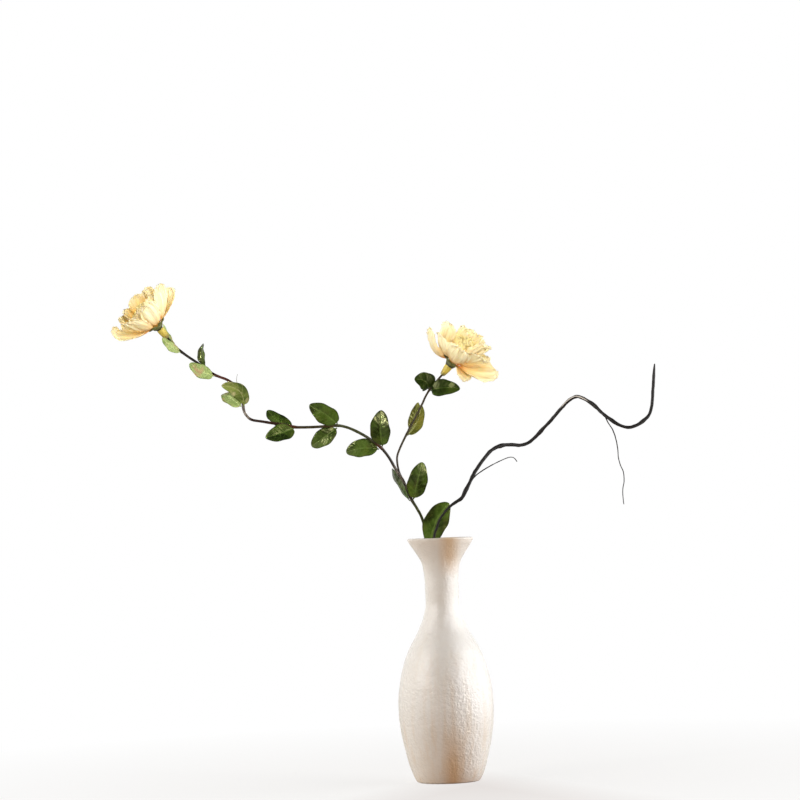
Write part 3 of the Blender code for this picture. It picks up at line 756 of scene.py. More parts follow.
SHORT_SHOOT_ROUTE = mm([
    (29.5, -7, 292), (34, -5.5, 298.5), (38, -7, 303), (43, -9, 306.5), (49, -10.5, 310),
    (57, -12.5, 314), (65, -14, 317.5), (71, -15, 319.5), (74.5, -15, 319.5), (77, -14.5, 318),
    (79, -14, 315),
])
LONG_SHOOT_ROUTE = mm([
    (167, -14, 360), (170.5, -18, 351), (174.5, -22, 343.5), (177, -25, 335),
    (178.5, -27, 324.5), (179, -27, 315), (181, -26, 307), (183.5, -24.5, 301), (184, -23, 292),
    (182.5, -23.5, 285), (182, -25.5, 278), (182.5, -27, 269),
])
TWIG_RADIUS = 0.0020
TWIG_END_RADIUS = 0.0015
TWIG_TIP = 0.012                 # how far from its end the twig begins to narrow
SHOOT_RADIUS = 0.00060
SHOOT_END_RADIUS = 0.00042
KNOTS = mm([
    (27, -9, 288), (64, 13, 332), (105, 21.5, 345), (158, -8, 369), (176, -18, 352),
    (205, -18.5, 351),
])


def shoot_skin(points, seed):
    line = smooth_route(points, 0.0010)
    radii = np.linspace(SHOOT_RADIUS, SHOOT_END_RADIUS, len(line))
    rings, marks = swept(line, radii, 10, seed, ripple=0.20)
    return shell(rings, split=0.0, **marks)


twig_line = smooth_route(TWIG_ROUTE, 0.0011)
twig_radii = np.linspace(TWIG_RADIUS, TWIG_END_RADIUS, len(twig_line))
to_tip = np.linalg.norm(twig_line - twig_line[-1], axis=1)
twig_radii *= 0.3 + 0.7 * np.clip(to_tip / TWIG_TIP, 0, 1) ** 0.6
twig_radii *= 1 + swelling(twig_line, KNOTS, 0.0045, 0.28)
twig_radii *= np.interp(twig_line[:, 2], [0.270, 0.279], [0.62, 1.0])
twig_rings, twig_marks = swept(twig_line, twig_radii, 20, 31, furrows=0.05, ripple=0.13)
split_ends = np.interp(twig_line[:, 0], [0.126, 0.130, 0.150, 0.154], [0, 1, 1, 0])[:, None]
split = split_ends * np.clip((0.09 - np.abs(twig_marks["turn"] - 0.55)) / 0.03, 0, 1)
twig_skins = [shell(twig_rings, split=split, **twig_marks), shoot_skin(SHORT_SHOOT_ROUTE, 32),
              shoot_skin(LONG_SHOOT_ROUTE, 33)]
add_piece("bare_twig", twig_skins, "twig", TWIG_BARK)

# %% [markdown]
# ## Leaf finishes
#
# A leaf's upper face is dark, waxy green with paler veins, and its back is lighter and dull. The
# youngest leaves near the left flower are pale green, tinged pinkish brown where the light has
# dried them, and one is half dried. The pair that clasps the side branch is olive. The pair under
# the right flower is duller, and its finish is painted darker, as shade. One function makes all
# five finishes from a table of colours, so they look like leaves of one plant.

# %% Leaf finishes
LEAF_COLOURS = {                 # deep, bright, vein, back, dried, the dried share, gloss
    "leaf_green": ((0.006, 0.016, 0.002), (0.05, 0.096, 0.01), (0.14, 0.22, 0.05),
                   (0.07, 0.115, 0.03), (0.08, 0.075, 0.015), 0.25, 0.38),
    # a darker copy of the green, which paints shade on the top pair
    "leaf_dark": ((0.008, 0.018, 0.002), (0.026, 0.052, 0.006), (0.07, 0.11, 0.02),
                  (0.05, 0.08, 0.02), (0.05, 0.05, 0.01), 0.2, 0.16),
    "leaf_pale": ((0.18, 0.26, 0.07), (0.31, 0.4, 0.15), (0.58, 0.68, 0.34),
                  (0.42, 0.54, 0.22), (0.42, 0.22, 0.14), 0.7, 0.38),
    "leaf_olive": ((0.05, 0.058, 0.008), (0.18, 0.18, 0.028), (0.36, 0.38, 0.12),
                   (0.24, 0.25, 0.08), (0.16, 0.1, 0.02), 0.4, 0.38),
    "leaf_dried": ((0.035, 0.07, 0.008), (0.2, 0.25, 0.055), (0.5, 0.5, 0.24),
                   (0.36, 0.4, 0.17), (0.5, 0.46, 0.24), 0.75, 0.38),
}


def leaf_finish(name, deep, bright, vein, back, dry, dry_share, gloss):
    made, tree, shader = new_finish(name)
    face, mottle = mark_of(tree, "face"), noise(tree, 160.0, 4.0)
    colour = blend(patches(tree, 45.0, 0.40, 0.62), deep, bright)
    colour = blend(levels(mottle, 0.5, 0.72) * 0.42, colour, bright)
    colour = blend(mark_of(tree, "vein") * 0.45, colour, vein)
    rim = levels(abs(mark_of(tree, "across")), 0.82, 1.0)
    colour = blend(rim * 0.8, colour, tuple(0.45 * c for c in deep))
    colour = blend(patches(tree, 95.0, 0.52, 0.66, 3.0) * dry_share, colour, dry)
    colour = blend(face, back, colour)
    rough = face * -0.34 + 0.56 + levels(mottle, 0.3, 0.8) * 0.20
    plug_all(shader, {"Base Color": colour, "Roughness": rough, "Specular IOR Level": gloss,
                      "Specular Tint": (1.0, 1.0, 0.45)})
    raise_by(shader, noise(tree, 1400.0, 2.0), 0.00004)
    return made


LEAF_FINISHES = {name: leaf_finish(name, *row) for name, row in LEAF_COLOURS.items()}
print("finishes", *LEAF_FINISHES)

# %% [markdown]
# ## Leaves
#
# Each leaf is an oval blade on a midrib that leaves the stem squarely and bends towards its tip.
# The blade folds up a little on both sides of the midrib, quilts between its side veins and
# waves at its rim. The grid's first parameter runs from the stalk to the tip and its second from
# one rim to the other, so midrib and veins are simply lines of that grid.

# %% Leaf places
LEAVES = {    # joint, tip, width, roll in degrees, bow and lift of the midrib
    "mouth_leaf": ("mouth", (10, -2, 276.5), 24, 0, -5, 2),
    "lower_leaf_right": ("lower", (-15, -2, 318), 20, 8, 0, 4),
    "lower_leaf_left": ("lower", (-45, 18, 313), 19, 72, -3, 3),
    "fork_leaf_upper": ("fork", (-54, -12, 371), 21, -15, -1, 4.5),
    "fork_leaf_lower": ("fork", (-91, 8, 331), 19, 15, 2, 3),
    "arch_leaf_upper": ("arch", (-125, -31, 378), 20, -14, 1.5, 4.5),
    "arch_leaf_lower": ("arch", (-125, -12, 338), 18, 15, -1, 4),
    "bend_leaf_upper": ("bend", (-167, -15, 375), 16.5, 40, -3.5, 0.8),
    "bend_leaf_lower": ("bend", (-169, -42, 347), 19, 22, -1.5, 5),
    "elbow_leaf_upper": ("elbow", (-211, -37, 399.5), 17.2, -30, 8.5, 4),
    "elbow_leaf_lower": ("elbow", (-210, -21, 392.5), 18, 32, 0.5, 5.5),
    "rise_leaf_upper": ("rise_high", (-230, -6, 444), 12, -50, -2, 3),
    "rise_leaf_lower": ("rise_low", (-242.5, -19, 424.5), 15.8, 30, -3, 3),
    "bud_leaf_front": ("bud_low", (-270, -12, 451), 9.5, 25, -2, 2),
    "bud_leaf_back": ("bud_high", (-270.5, 7, 466), 5, 60, -1, -1),
    "olive_leaf_left": ("olive_high", (-17, 24.5, 379), 9.5, -10, 0.8, -0.5),
    "olive_leaf_right": ("olive_low", (-14, 33, 377), 12.5, 5, 4, -3),
    "top_leaf_left": ("top", (-20, 10, 402), 20.5, 20, 4, 3),
    "top_leaf_right": ("top", (25.5, 10, 390.5), 18, -18, -1.5, 4),
}
LEAN = 0.85                      # over one, a blade is widest towards its tip
LEANS = {"mouth_leaf": 1.15, "top_leaf_left": 0.62, "top_leaf_right": 0.68}
SHADED_LEAVES = {"top_leaf_left", "top_leaf_right"}    # their finish is painted darker, as shade
PALE_LEAVES = {"elbow_leaf_lower", "rise_leaf_lower", "bud_leaf_front", "bud_leaf_back"}
LEAF_THICKNESS = 0.0006          # of the solid that the blade was seated with
LEAF_STALK = 0.0007              # half the width of a leaf's stalk
LEAF_FOLD = 0.20                 # rise of a blade's edge for each metre from its midrib
BLADE_START = 0.05               # the share of its length that is bare stalk
BLADE_OVAL = 0.56                # a power: the less, the blunter its ends
BLADE_THICKNESS = 0.00042
VEIN_PAIRS = 7
QUILT = 0.00022                  # rise of a blade between its side veins
GROOVE = 0.00030                 # depth of the groove along its midrib
FLUTTER = 0.00055                # height of the waves at its rim
SCALLOP = 0.035                  # how far its outline waves, as a share of its width
DRIFT = 0.00045                  # slow unevenness of the whole blade


def carrier(points, first_radius, last_radius):
    """The line and radius of a branch, read finely enough to seat a leaf on it."""
    line = smooth_route(points, 0.0005)
    return line, np.linspace(first_radius, last_radius, len(line))


CARRIERS = {"stem": carrier(STEM_ROUTE, STEM_RADIUS, BRANCH_RADIUS),
            "side": carrier(SIDE_ROUTE, SIDE_BRANCH_RADIUS, SIDE_BRANCH_RADIUS)}


# %% Leaf shape
def leaf_half_width(s, width, lean):
    """Half the blade's width: a sine, fattened by a power under one, never under the stalk's. A
    lean over one moves the widest place towards the tip."""
    blade = np.clip((s - BLADE_START) / (1 - BLADE_START), 0, 1)
    oval = 0.5 * width * np.sin(np.pi * blade ** lean) ** BLADE_OVAL
    return np.maximum(oval, LEAF_STALK * (1 - 0.6 * s))


def leaf_midrib(branch, place, tip, roll, bow, lift):
    """The root, middle and tip of a leaf's midrib and the way its face looks. The root stands a
    hair off the bark, on the side that the leaf leaves from."""
    line, radii = CARRIERS[branch]
    nearest = int(np.argmin(np.linalg.norm(line - mm(place), axis=1)))
    nearest = min(max(nearest, 1), len(line) - 2)
    base = line[nearest]
    along_stem = unit(line[nearest + 1] - line[nearest - 1])
    chord = unit(tip - base)
    front = square_to(FRONT, chord)
    clockwise = np.cross(chord, front)
    face = spun(front, clockwise, math.radians(roll))
    middle = 0.5 * (base + tip) + 2 * bow * clockwise + 2 * lift * front
    outwards = square_to(middle - base, along_stem)
    edge_on = abs(float(unit(np.cross(middle - base, face)) @ outwards))
    reach = LEAF_STALK * edge_on + 0.5 * LEAF_THICKNESS * math.sqrt(1 - edge_on ** 2)
    root = base + outwards * (radii[nearest] + GAP + reach)
    return root, middle, face


def leaf_grid(root, middle, tip, face, width, seed, lean, rows=56, columns=27):
    """The blade's middle sheet. The midrib is the quadratic curve (1-s)^2 root + 2s(1-s) middle +
    s^2 tip. Across it, the sheet rises with the distance from the midrib, dips along the veins,
    which lean towards the tip, and waves as the cube of the distance. Its outline waves in and
    out as a sine along the leaf."""
    s = np.linspace(0, 1, rows)[:, None]
    v = from_rim_to_rim(columns)
    midrib = (1 - s) ** 2 * root + 2 * s * (1 - s) * middle + s ** 2 * tip
    heading = unit((1 - s) * (middle - root) + s * (tip - middle))
    across = unit(np.cross(heading, face))
    normal = np.cross(across, heading)
    half = leaf_half_width(s, width, lean)
    inside = np.clip(half / (0.5 * width), 0, 1)
    half = half * (1 + SCALLOP * v ** 2 * np.sin(5 * np.pi * s + seed + 1.5 * v))
    vein_at = VEIN_PAIRS * (s - 0.20 * np.abs(v) * width / 0.02) + 0.37
    between = np.abs(np.sin(np.pi * vein_at)) ** 0.7
    fade = inside * np.clip(np.abs(v) * 6, 0, 1) * np.clip((1 - np.abs(v)) * 5, 0, 1)
    quilt = QUILT * between * fade
    groove = -GROOVE * np.exp(-(half * v / 0.00050) ** 2) * (1 - 0.7 * s)
    wave = FLUTTER * inside * np.abs(v) ** 3 * np.sin(2 * np.pi * (2.3 * s + 0.13 * seed) + v)
    rise = LEAF_FOLD * np.abs(v) * half + quilt + groove + wave
    across, normal = across[:, None], normal[:, None]
    points = midrib[:, None] + (half * v)[..., None] * across + rise[..., None] * normal
    drift = DRIFT * wander(points, 0.011, seed) * inside * np.sin(np.pi * s)
    points = points + drift[..., None] * normal
    side_vein = np.exp(-(between / 0.30) ** 2) * fade * np.clip(1.3 - np.abs(v), 0, 1)
    main_vein = np.exp(-(half * v / 0.00045) ** 2)
    return points, s, v, np.maximum(side_vein * 0.6, main_vein)


def leaf(name, seed, joint, tip, width, roll, bow, lift):
    tip = mm(tip)
    root, middle, face = leaf_midrib(*LEAF_JOINTS[joint], tip, roll, mm(bow), mm(lift))
    points, s, v, vein = leaf_grid(root, middle, tip, face, mm(width), seed, LEANS.get(name, LEAN))
    thickness = BLADE_THICKNESS * (1 - 0.6 * np.abs(v) ** 4) * (1.2 - 0.3 * s)
    slot = "leaf_pale" if name in PALE_LEAVES else "leaf_green"
    slot = "leaf_olive" if name.startswith("olive") else slot
    look = "leaf_dried" if name == "elbow_leaf_upper" else slot
    # the top pair takes the darker finish as painted shade
    look = "leaf_dark" if name in SHADED_LEAVES else look
    skin = wrapped(points, thickness, along=s, across=v, vein=vein)
    add_piece(name + "_blade", [skin], name, LEAF_FINISHES[look])


# %% Grow the leaves
for leaf_seed, (leaf_name, leaf_shape) in enumerate(LEAVES.items(), 40):
    leaf(leaf_name, leaf_seed, *leaf_shape)

# %% [markdown]
# ## Petal finishes
#
# The petals are cream, nearly white at their tips, peach in the middle and golden at the base.
# Deep inside the bloom their inner faces carry a painted glow, an amber that stands in for light
# shining through them. Fine lengthwise streaks follow their pleats. They are thin, so a little
# light passes through them: a small subsurface share gives that softness.


# %% Petal finishes
def petal_finish(name, base, middle, tip, streak, depth):
    """The first three colours lie along the petal. The last is the bloom's golden inside, deepened
    as a painted glow on the petals' inner faces.
    """
    made, tree, shader = new_finish(name)
    along, face = mark_of(tree, "along"), mark_of(tree, "face")
    vector = value_of(tree, "ShaderNodeCombineXYZ", {0: mark_of(tree, "across") * 7.0,
                                                     1: along * 1.3, 2: mark_of(tree, "seed")})
    streaks = noise(tree, 1.6, 4.0, vector)
    place = along + (noise(tree, 90.0) - 0.5) * 0.5
    colour = ramp(place, [(0.04, base), (0.24, middle), (0.66, tip), (1.0, tip)])
    colour = blend(levels(streaks, 0.48, 0.70) * 0.60, colour, streak)
    colour = blend(levels(streaks, 0.50, 0.60) * face * 0.20, colour, (0.58, 0.51, 0.27))
    inside = levels(face, 1.0, 0.0)
    # painted glow: amber towards the base of the inner faces, on top of the real golden tone
    glow = levels(place, 0.94, 0.55) * inside * mark_of(tree, "gold")
    colour = blend(glow.maths("MINIMUM", 1.0), colour, depth)
    colour = blend(levels(place, 0.20, 0.05) * 0.85, colour, base)
    colour = blend(patches(tree, 120.0, 0.56, 0.72) * 0.35, colour, (0.74, 0.78, 0.44))
    dry = patches(tree, 420.0, 0.56, 0.66) * levels(along, 0.80, 1.0)
    colour = blend(dry * 0.45, colour, (0.48, 0.36, 0.16))
    plug_all(shader, {"Base Color": colour, "Roughness": levels(streaks, -0.9, 1.4),
                      "Subsurface Weight": 0.20, "Subsurface Radius": (0.003, 0.002, 0.0008),
                      "Subsurface Scale": 1.0})
    raise_by(shader, streaks, 0.00015)
    return made


# the last colour is the amber of the golden tone and the painted glow
CREAM = petal_finish("petal_cream", (0.7, 0.26, 0.02), (0.94, 0.65, 0.29), (0.95, 0.86, 0.54),
                     (0.8, 0.52, 0.24), (0.88, 0.5, 0.06))
GOLD = petal_finish("petal_gold", (0.56, 0.3, 0.03), (0.8, 0.56, 0.12), (0.93, 0.8, 0.36),
                    (0.56, 0.3, 0.04), (0.62, 0.3, 0.02))
print("finishes", CREAM.name, GOLD.name)

# %% [markdown]
# ## Petals
#
# A petal is held by a narrow claw, swells to a broad blade and ends in a ruffled tip. Its spine
# leaves the dome at one angle from the flower's axis and bends to another. Across, it is an arc
# that closes round that axis. On this form lie pleats that fan out from the claw, fine ribs
# between them, and a rim that flutters. A twist lets a petal show its inside to one side.

# %% Petal tables
CURLS = {                        # degrees that a petal's tip curls on, outwards if positive
    "left_outer_petal_1": -120.0, "right_outer_petal_4": -45.0, "right_outer_petal_8": 25.0,
}
OUTLINES = {                     # the widest place along a petal, and how blunt its tip is
    "right_outer_petal_1": (0.33, 1.4),
}
RUFFLES = {"left": 1.0, "right": 1.25}    # how deeply each bloom's rims are ruffled
PLEAT = 0.00085                  # heights of a petal's pleats, ribs and waves
RIB = 0.00013
RUFFLE = 0.00075
FRILL = 0.00040
CRUMPLE = 0.0007
RUFFLE_LENGTH = 0.0042           # from crest to crest along the rim
FRILL_LENGTH = 0.0023
PETAL_SHEET = 0.00034            # how thick the petals are, and the young ones of the heart
YOUNG_SHEET = 0.00026
HEART_RADIUS = 0.0046            # the dome that holds the petals
PETAL_THICKNESS = 0.0005         # of the solid that each petal was seated with
PETAL_LIFT = 0.0002              # of its claw off the dome, beyond the gap
PETAL_CLAW = 0.0019              # half its width
OUTER_SEAT = 88                  # degrees down the dome from its top
INNER_SEAT = 58
PETALS = {    # azimuth, first and last angle from the axis, length, width, twist
    "left": {
        "outer": [
            (-82, 90, 37, 45, 37, -42), (-40, 82, 31, 35.5, 23.5, 0), (11, 75, 25, 34.5, 23, 0),
            (66, 74, 22, 41, 24, -25), (112, 88, 42, 37, 29, 25), (161, 79, 30, 35, 30, 0),
            (202, 94, 42, 36, 32, 0), (236, 72, 22, 37, 30, 0),
        ],
        "inner": [
            (-58, 60, 24, 25, 18, 0), (-10, 42, 6, 24, 18, 0), (42, 56, 18, 30, 21, 0),
            (92, 42, 8, 35, 18, 0), (134, 56, 18, 36, 26, 0), (176, 40, 3, 34, 25, 0),
            (240, 50, 11, 32, 25, 0),
        ],
    },
    "right": {
        "outer": [
            (-90, 134, 33, 41.5, 30, 30), (0, 84, 38, 36.5, 28, 0), (58, 112, 98, 22.5, 22, 16),
            (78, 88, 53, 45, 31, 46), (124, 80, 33, 37, 24, 0), (160, 94, 36, 36, 25, 0),
            (197, 72, 16, 36, 23, 0), (248, 92, 13, 40, 31, -8),
        ],
        "inner": [
            (-68, 113, 36, 30, 33, 6), (40, 72, 43, 38.5, 28, 0), (68, 44, 12, 35.5, 25, 0),
            (104, 50, 16, 36, 26, 0), (146, 44, 10, 36.5, 23, 0), (186, 50, 16, 37, 22, 0),
            (232, 42, 8, 34, 22, 0),
        ],
    },
}


print("petals", sum(len(ring) for rings in PETALS.values() for ring in rings.values()))


# %% Petal shape
def petal_half_width(s, width, widest=0.64, blunt=3.2):
    """Half the petal's width: it swells as a sine from the claw to its widest place, and rounds
    off from there as an ellipse, whose tip is blunt if the power is high."""
    swell = np.sin(0.5 * np.pi * np.clip((s - 0.04) / (widest - 0.04), 0, 1)) ** 0.78
    rounding = (1 - np.clip((s - widest) / (1 - widest), 0, 1) ** blunt) ** 0.5
    return np.maximum(0.5 * width * np.where(s < widest, swell, rounding), PETAL_CLAW)


def petal_relief(s, v, half, seed, crinkle):
    """How far the sheet stands out of its smooth form: pleats and ribs are cosines across it,
    which fan out from the claw, ruffles are shorter waves that grow towards the rim, and noise
    bends them all, so that no petal repeats another."""
    chance = np.random.default_rng(seed)
    phase = chance.uniform(0, 2 * np.pi, 4)
    pleats = chance.uniform(2.2, 3.4)
    place = places(v, s, seed)
    bend = 0.30 * wander(place, 0.55, seed)
    pleat = np.cos(pleats * np.pi * (v + bend) + phase[0]) * (0.00010 + PLEAT * s ** 1.6)
    rib = RIB * np.cos(15 * np.pi * (v + 0.35 * bend) + phase[1]) * np.clip(s * 3, 0, 1)
    arc_length = half * v
    side = (np.abs(v) - 0.70) / 0.30 * np.clip(s * 2, 0, 1)
    rim = np.clip(np.maximum((s - 0.70) / 0.30, side), 0, 1)
    waves = np.cos(2 * np.pi * (arc_length + 0.01 * s) / RUFFLE_LENGTH + 5 * bend + phase[2])
    frill = np.cos(2 * np.pi * arc_length / FRILL_LENGTH + 8 * bend + phase[3])
    ruffle = crinkle * rim ** 1.4 * (RUFFLE * waves + FRILL * frill)
    crumple = CRUMPLE * wander(place, 0.35, seed + 500) * s
    fade = np.clip(half / 0.0035, 0, 1)
    return (pleat + rib + ruffle + crumple) * fade


def petal_grid(centre, axes, seat, seed, azimuth, start, end, length, width, twist,
               rows=60, columns=41, curl=0.0, crinkle=1.0, outline=()):
    """The petal's middle sheet. Its spine adds up small steps whose angle from the axis runs from
    start to end as a sine, and its last quarter curls on by the angle given. Across, a point at
    the arc length w lies at the sine of w over the cup's radius, lifted towards the axis by one
    less its cosine, and the twist turns that arc."""
    front, side, axis = axes
    turn = math.radians(azimuth)
    outwards, round_it = spun(front, side, turn), spun(side, -front, turn)
    s = np.sin(0.5 * np.pi * np.linspace(0, 1, rows) ** 1.1)
    angle = np.radians(start + (end - start) * np.sin(0.5 * np.pi * s)
                       + curl * np.clip((s - 0.74) / 0.26, 0, 1) ** 1.3)
    middle = 0.5 * (angle[1:] + angle[:-1])
    steps = np.diff(s) * length
    seat = math.radians(seat)
    lean = abs(math.cos(seat - math.radians(start)))
    root = HEART_RADIUS + GAP + 0.5 * PETAL_THICKNESS * lean + PETAL_LIFT
    radius = root * math.sin(seat) + running(steps * np.sin(middle))
    height = root * math.cos(seat) + running(steps * np.cos(middle))
    v = from_rim_to_rim(columns)
    half = petal_half_width(s, width, *outline)[:, None]
    s, angle = s[:, None], angle[:, None]
    rim_place = places(2.6 * v, 0 * s, seed)
    reach = 0.0012 * wander(rim_place, 1.0, 7) + 0.0006 * wander(rim_place, 0.35, 8)
    reach = crinkle * reach * np.clip((s - 0.6) / 0.4, 0, 1) ** 2
    cup = np.maximum(np.abs(radius) * 0.9, 0.006)[:, None]
    bend = half * v / cup
    lift = cup * (1 - np.cos(bend)) + petal_relief(s, v, half, seed, crinkle)
    wide = cup * np.sin(bend)
    spin = math.radians(twist) * s ** 0.7
    inward = lift * np.cos(spin) + wide * np.sin(spin)
    x = radius[:, None] - inward * np.cos(angle) + reach * np.sin(angle)
    y = wide * np.cos(spin) - lift * np.sin(spin)
    z = height[:, None] + inward * np.sin(angle) + reach * np.cos(angle)
    points = centre + x[..., None] * outwards + y[..., None] * round_it + z[..., None] * axis
    return points, s, v


def petal(name, seed, centre, axes, seat, gold, azimuth, start, end, length, width, twist):
    points, s, v = petal_grid(centre, axes, seat, seed, azimuth, start, end, mm(length), mm(width),
                              twist, columns=57, curl=CURLS.get(name, 0.0),
                              crinkle=RUFFLES[name.split("_")[0]], outline=OUTLINES.get(name, ()))
    thickness = PETAL_SHEET * (1 - 0.55 * np.abs(v) ** 4) * (1.15 - 0.5 * s)
    skin = wrapped(points, thickness, along=s, across=v, seed=0.37 * seed, gold=gold)
    add_piece(name + "_ruffled", [skin], name, CREAM)


# %% [markdown]
# ## Neck, calyx and heart
#
# Under each bloom the stalk swells into an ochre neck with faint ribs. On it sits the green
# calyx, a small cup with five short sepals. The heart is the golden middle of the bloom: young
# petals still curled round each other, with stamens between them, on the dome that carries all
# the petals. Neck and cup are turned forms, and the young petals reuse the petal's own formula.

# %% Neck and calyx finishes
NECK_LENGTH = 0.0105
CALYX_HEIGHT = 0.0045
CALYX_WALL = 0.0009
RIM_CLEARANCE = 0.0012
CUP_DIP = 0.0004                 # how far the calyx's floor dips at its middle
HAIR = 0.0001                    # a little more than the gap, where round meets round
SEPALS = 5
SEPAL_LENGTH = 0.0064
SEPAL_WIDTH = 0.0090
SEPAL_ANGLES = (92, 52)          # from the flower's axis, at its base and its tip
SEPAL_SEAT = 112
SEPAL_SHEET = 0.0005


def ribbed_finish(name, foot, middle, top, dark):
    """Lengthwise ribs in three colours from the foot to the top."""
    made, tree, shader = new_finish(name)
    along = mark_of(tree, "along")
    vector = value_of(tree, "ShaderNodeCombineXYZ", {0: mark_of(tree, "turn") * 9.0, 1: along})
    ribs = noise(tree, 1.2, 3.0, vector)
    colour = ramp(along, [(0.05, foot), (0.35, middle), (0.90, top)])
    colour = blend(levels(ribs, 0.45, 0.7) * 0.6, colour, dark)
    plug_all(shader, {"Base Color": colour, "Roughness": levels(ribs, -0.8, 1.3)})
    raise_by(shader, ribs, 0.00012)
    return made


OCHRE = ribbed_finish("neck_ochre", (0.16, 0.13, 0.03), (0.5, 0.38, 0.05), (0.62, 0.5, 0.08),
                      (0.22, 0.16, 0.03))
SEPAL_GREEN = ribbed_finish("calyx_green", (0.024, 0.017, 0.004), (0.055, 0.06, 0.01),
                            (0.15, 0.17, 0.035), (0.035, 0.016, 0.004))
print("finishes", OCHRE.name, SEPAL_GREEN.name)


# %% Turned parts of a flower
def flower_frame(axis):
    """The flower's own axes: towards the front, clockwise from it, and out along its axis."""
    axis = unit(axis)
    front = square_to(FRONT, axis)
    return front, np.cross(axis, front), axis


def turned(foot, axes, profile, lobes=0, depth=0.0, turns=40):
    """Rings round the flower's axis from (radius, height) points, whose radius swells and sinks
    as a cosine with that many lobes."""
    front, side, axis = axes
    profile = np.asarray(profile)
    turn = full_turn(turns)
    radius = profile[:, :1] * (1 + depth * np.cos(lobes * turn))
    along = profile[:, 1:] / max(profile[:, 1].max(), 1e-6)
    rings = ring_points(foot, radius, turn, front, side) + profile[:, 1][:, None, None] * axis
    return rings, {"along": along, "turn": np.abs(turn / np.pi - 1)}


def eased(points, steps):
    """A profile read again as a smooth curve through its points."""
    flat = np.column_stack([points, np.zeros(len(points))])
    return smooth_route(flat, np.linalg.norm(np.diff(flat, axis=0), axis=1).sum() / steps)[:, :2]


def flower_neck(side, foot, axes, radius, foot_radius):
    """A ribbed cone that sheathes the end of the stalk by a little under a millimetre."""
    middle = 0.76 * radius + 0.24 * foot_radius
    low = 0.40 * radius + 0.60 * foot_radius
    wall = eased([(radius, NECK_LENGTH), (radius * 0.98, NECK_LENGTH * 0.84),
                  (middle, NECK_LENGTH * 0.52), (low, NECK_LENGTH * 0.15),
                  (foot_radius * 1.08, -0.0006)], 26)
    profile = np.vstack([[(0.0003, NECK_LENGTH + 0.0002)], wall, [(0.0009, -0.0008)]])
    rings, marks = turned(foot, axes, profile, 9, 0.035)
    add_piece(side + "_neck_ribbed", [shell(rings, **marks)], side + "_neck", OCHRE)


def sepal_skin(centre, axes, azimuth, seed):
    """A short broad sepal: the petal's own sheet, low on the cup, drawn in to a point."""
    points, s, v = petal_grid(centre, axes, SEPAL_SEAT, seed, azimuth, *SEPAL_ANGLES, SEPAL_LENGTH,
                              SEPAL_WIDTH, 0, rows=20, columns=13, crinkle=0.0)
    spine = points[:, 6:7]
    points = spine + (points - spine) * (1 - s[..., None] ** 2.5 * 0.75)
    return wrapped(points, SEPAL_SHEET, along=0.35 + 0.65 * s, turn=np.abs(v))


def calyx(side, foot, axes, foot_radius, floor, centre):
    hollow = HEART_RADIUS + GAP + HAIR
    outside = eased([(hollow + CALYX_WALL, CALYX_HEIGHT), (hollow + 0.7 * CALYX_WALL, 0.0028),
                     (foot_radius * 1.08, 0.0008), (foot_radius, 0.0)], 14)
    inside = [(0.0004, floor), (hollow * 0.78, floor + CUP_DIP), (hollow, CALYX_HEIGHT)]
    profile = np.vstack([inside, outside, [(0.0004, 0.0)]])
    rings, marks = turned(foot, axes, profile, 5, 0.025)
    skins = [shell(rings, **marks)]
    skins += [sepal_skin(centre, axes, 36 + 360 // SEPALS * k, 70 + k) for k in range(SEPALS)]
    add_piece(side + "_calyx_sepals", skins, side + "_calyx", SEPAL_GREEN)


# %% Heart of a flower
GOLDEN_ANGLE = 137.5             # degrees from one young petal to the next
YOUNG_PETALS = 15
YOUNG_WIDTH = 0.0120
YOUNG_LEAN = 6                   # degrees from the axis, of the innermost young petal
LEAN_STEP = 2.6                  # degrees more for each further out
SIZE_STEP = 0.0002               # how much shorter and wider each is
STAMENS = 18


def stamen_skin(centre, axes, azimuth, lean, length, seed):
    """A thread with a small grain at its end, swept along a short curve."""
    front, side, axis = axes
    out = spun(front, side, math.radians(azimuth))
    tip = centre + length * spun(axis, out, lean)
    middle = centre + 0.55 * length * (axis * math.cos(0.5 * lean) + out * math.sin(0.8 * lean))
    line = smooth_route([centre + out * 0.0015 + axis * 0.004, middle, tip], 0.0011)
    share = np.linspace(0, 1, len(line))
    radii = 0.00018 + 0.00042 * np.exp(-((share - 0.93) / 0.06) ** 2)
    rings, _ = swept(line, radii, 6, seed)
    return shell(rings, face=1.0, along=0.3 + 0.5 * share[:, None], across=0.0, seed=0.0, gold=1.0)


def heart(side, centre, axes, depth, reach):
    dome = np.vstack([[(0.0003, HEART_RADIUS)], arc((0, 0), HEART_RADIUS, 80, 0, 8),
                      [(HEART_RADIUS * 0.78, -0.85 * depth), (HEART_RADIUS * 0.60, -depth),
                       (0.0003, -depth)]])
    rings, _ = turned(centre, axes, dome)
    skins = [shell(rings, face=1.0, along=0.0, across=0.0, seed=0.0, gold=1.0)]
    for number in range(YOUNG_PETALS):
        lean, change = YOUNG_LEAN + LEAN_STEP * number, SIZE_STEP * number
        shape = (GOLDEN_ANGLE * number, lean + 16, max(lean - 20, -12), reach - change,
                 YOUNG_WIDTH + change, 20 * (-1) ** number)
        points, s, v = petal_grid(centre, axes, lean, 80 + number, *shape, rows=34, columns=21,
                                  curl=30 - 60 * (number % 2), crinkle=1.25)
        skins.append(wrapped(points, YOUNG_SHEET, along=s, across=v, seed=1.7 * number, gold=0.8))
    for number in range(STAMENS):
        lean, length = 0.10 + 0.019 * number, 0.78 * reach + 0.0016 * (number % 3)
        azimuth = GOLDEN_ANGLE * (number + 0.5)
        skins.append(stamen_skin(centre, axes, azimuth, lean, length, number))
    add_piece(side + "_heart_stamens", skins, side + "_heart", GOLD)


# %% [markdown]
# ## Both flowers
#
# Each flower needs only the end of its stalk and the way it looks. From the foot outwards come
# the neck, the calyx, the dome's centre, and the petals in two rings round it.

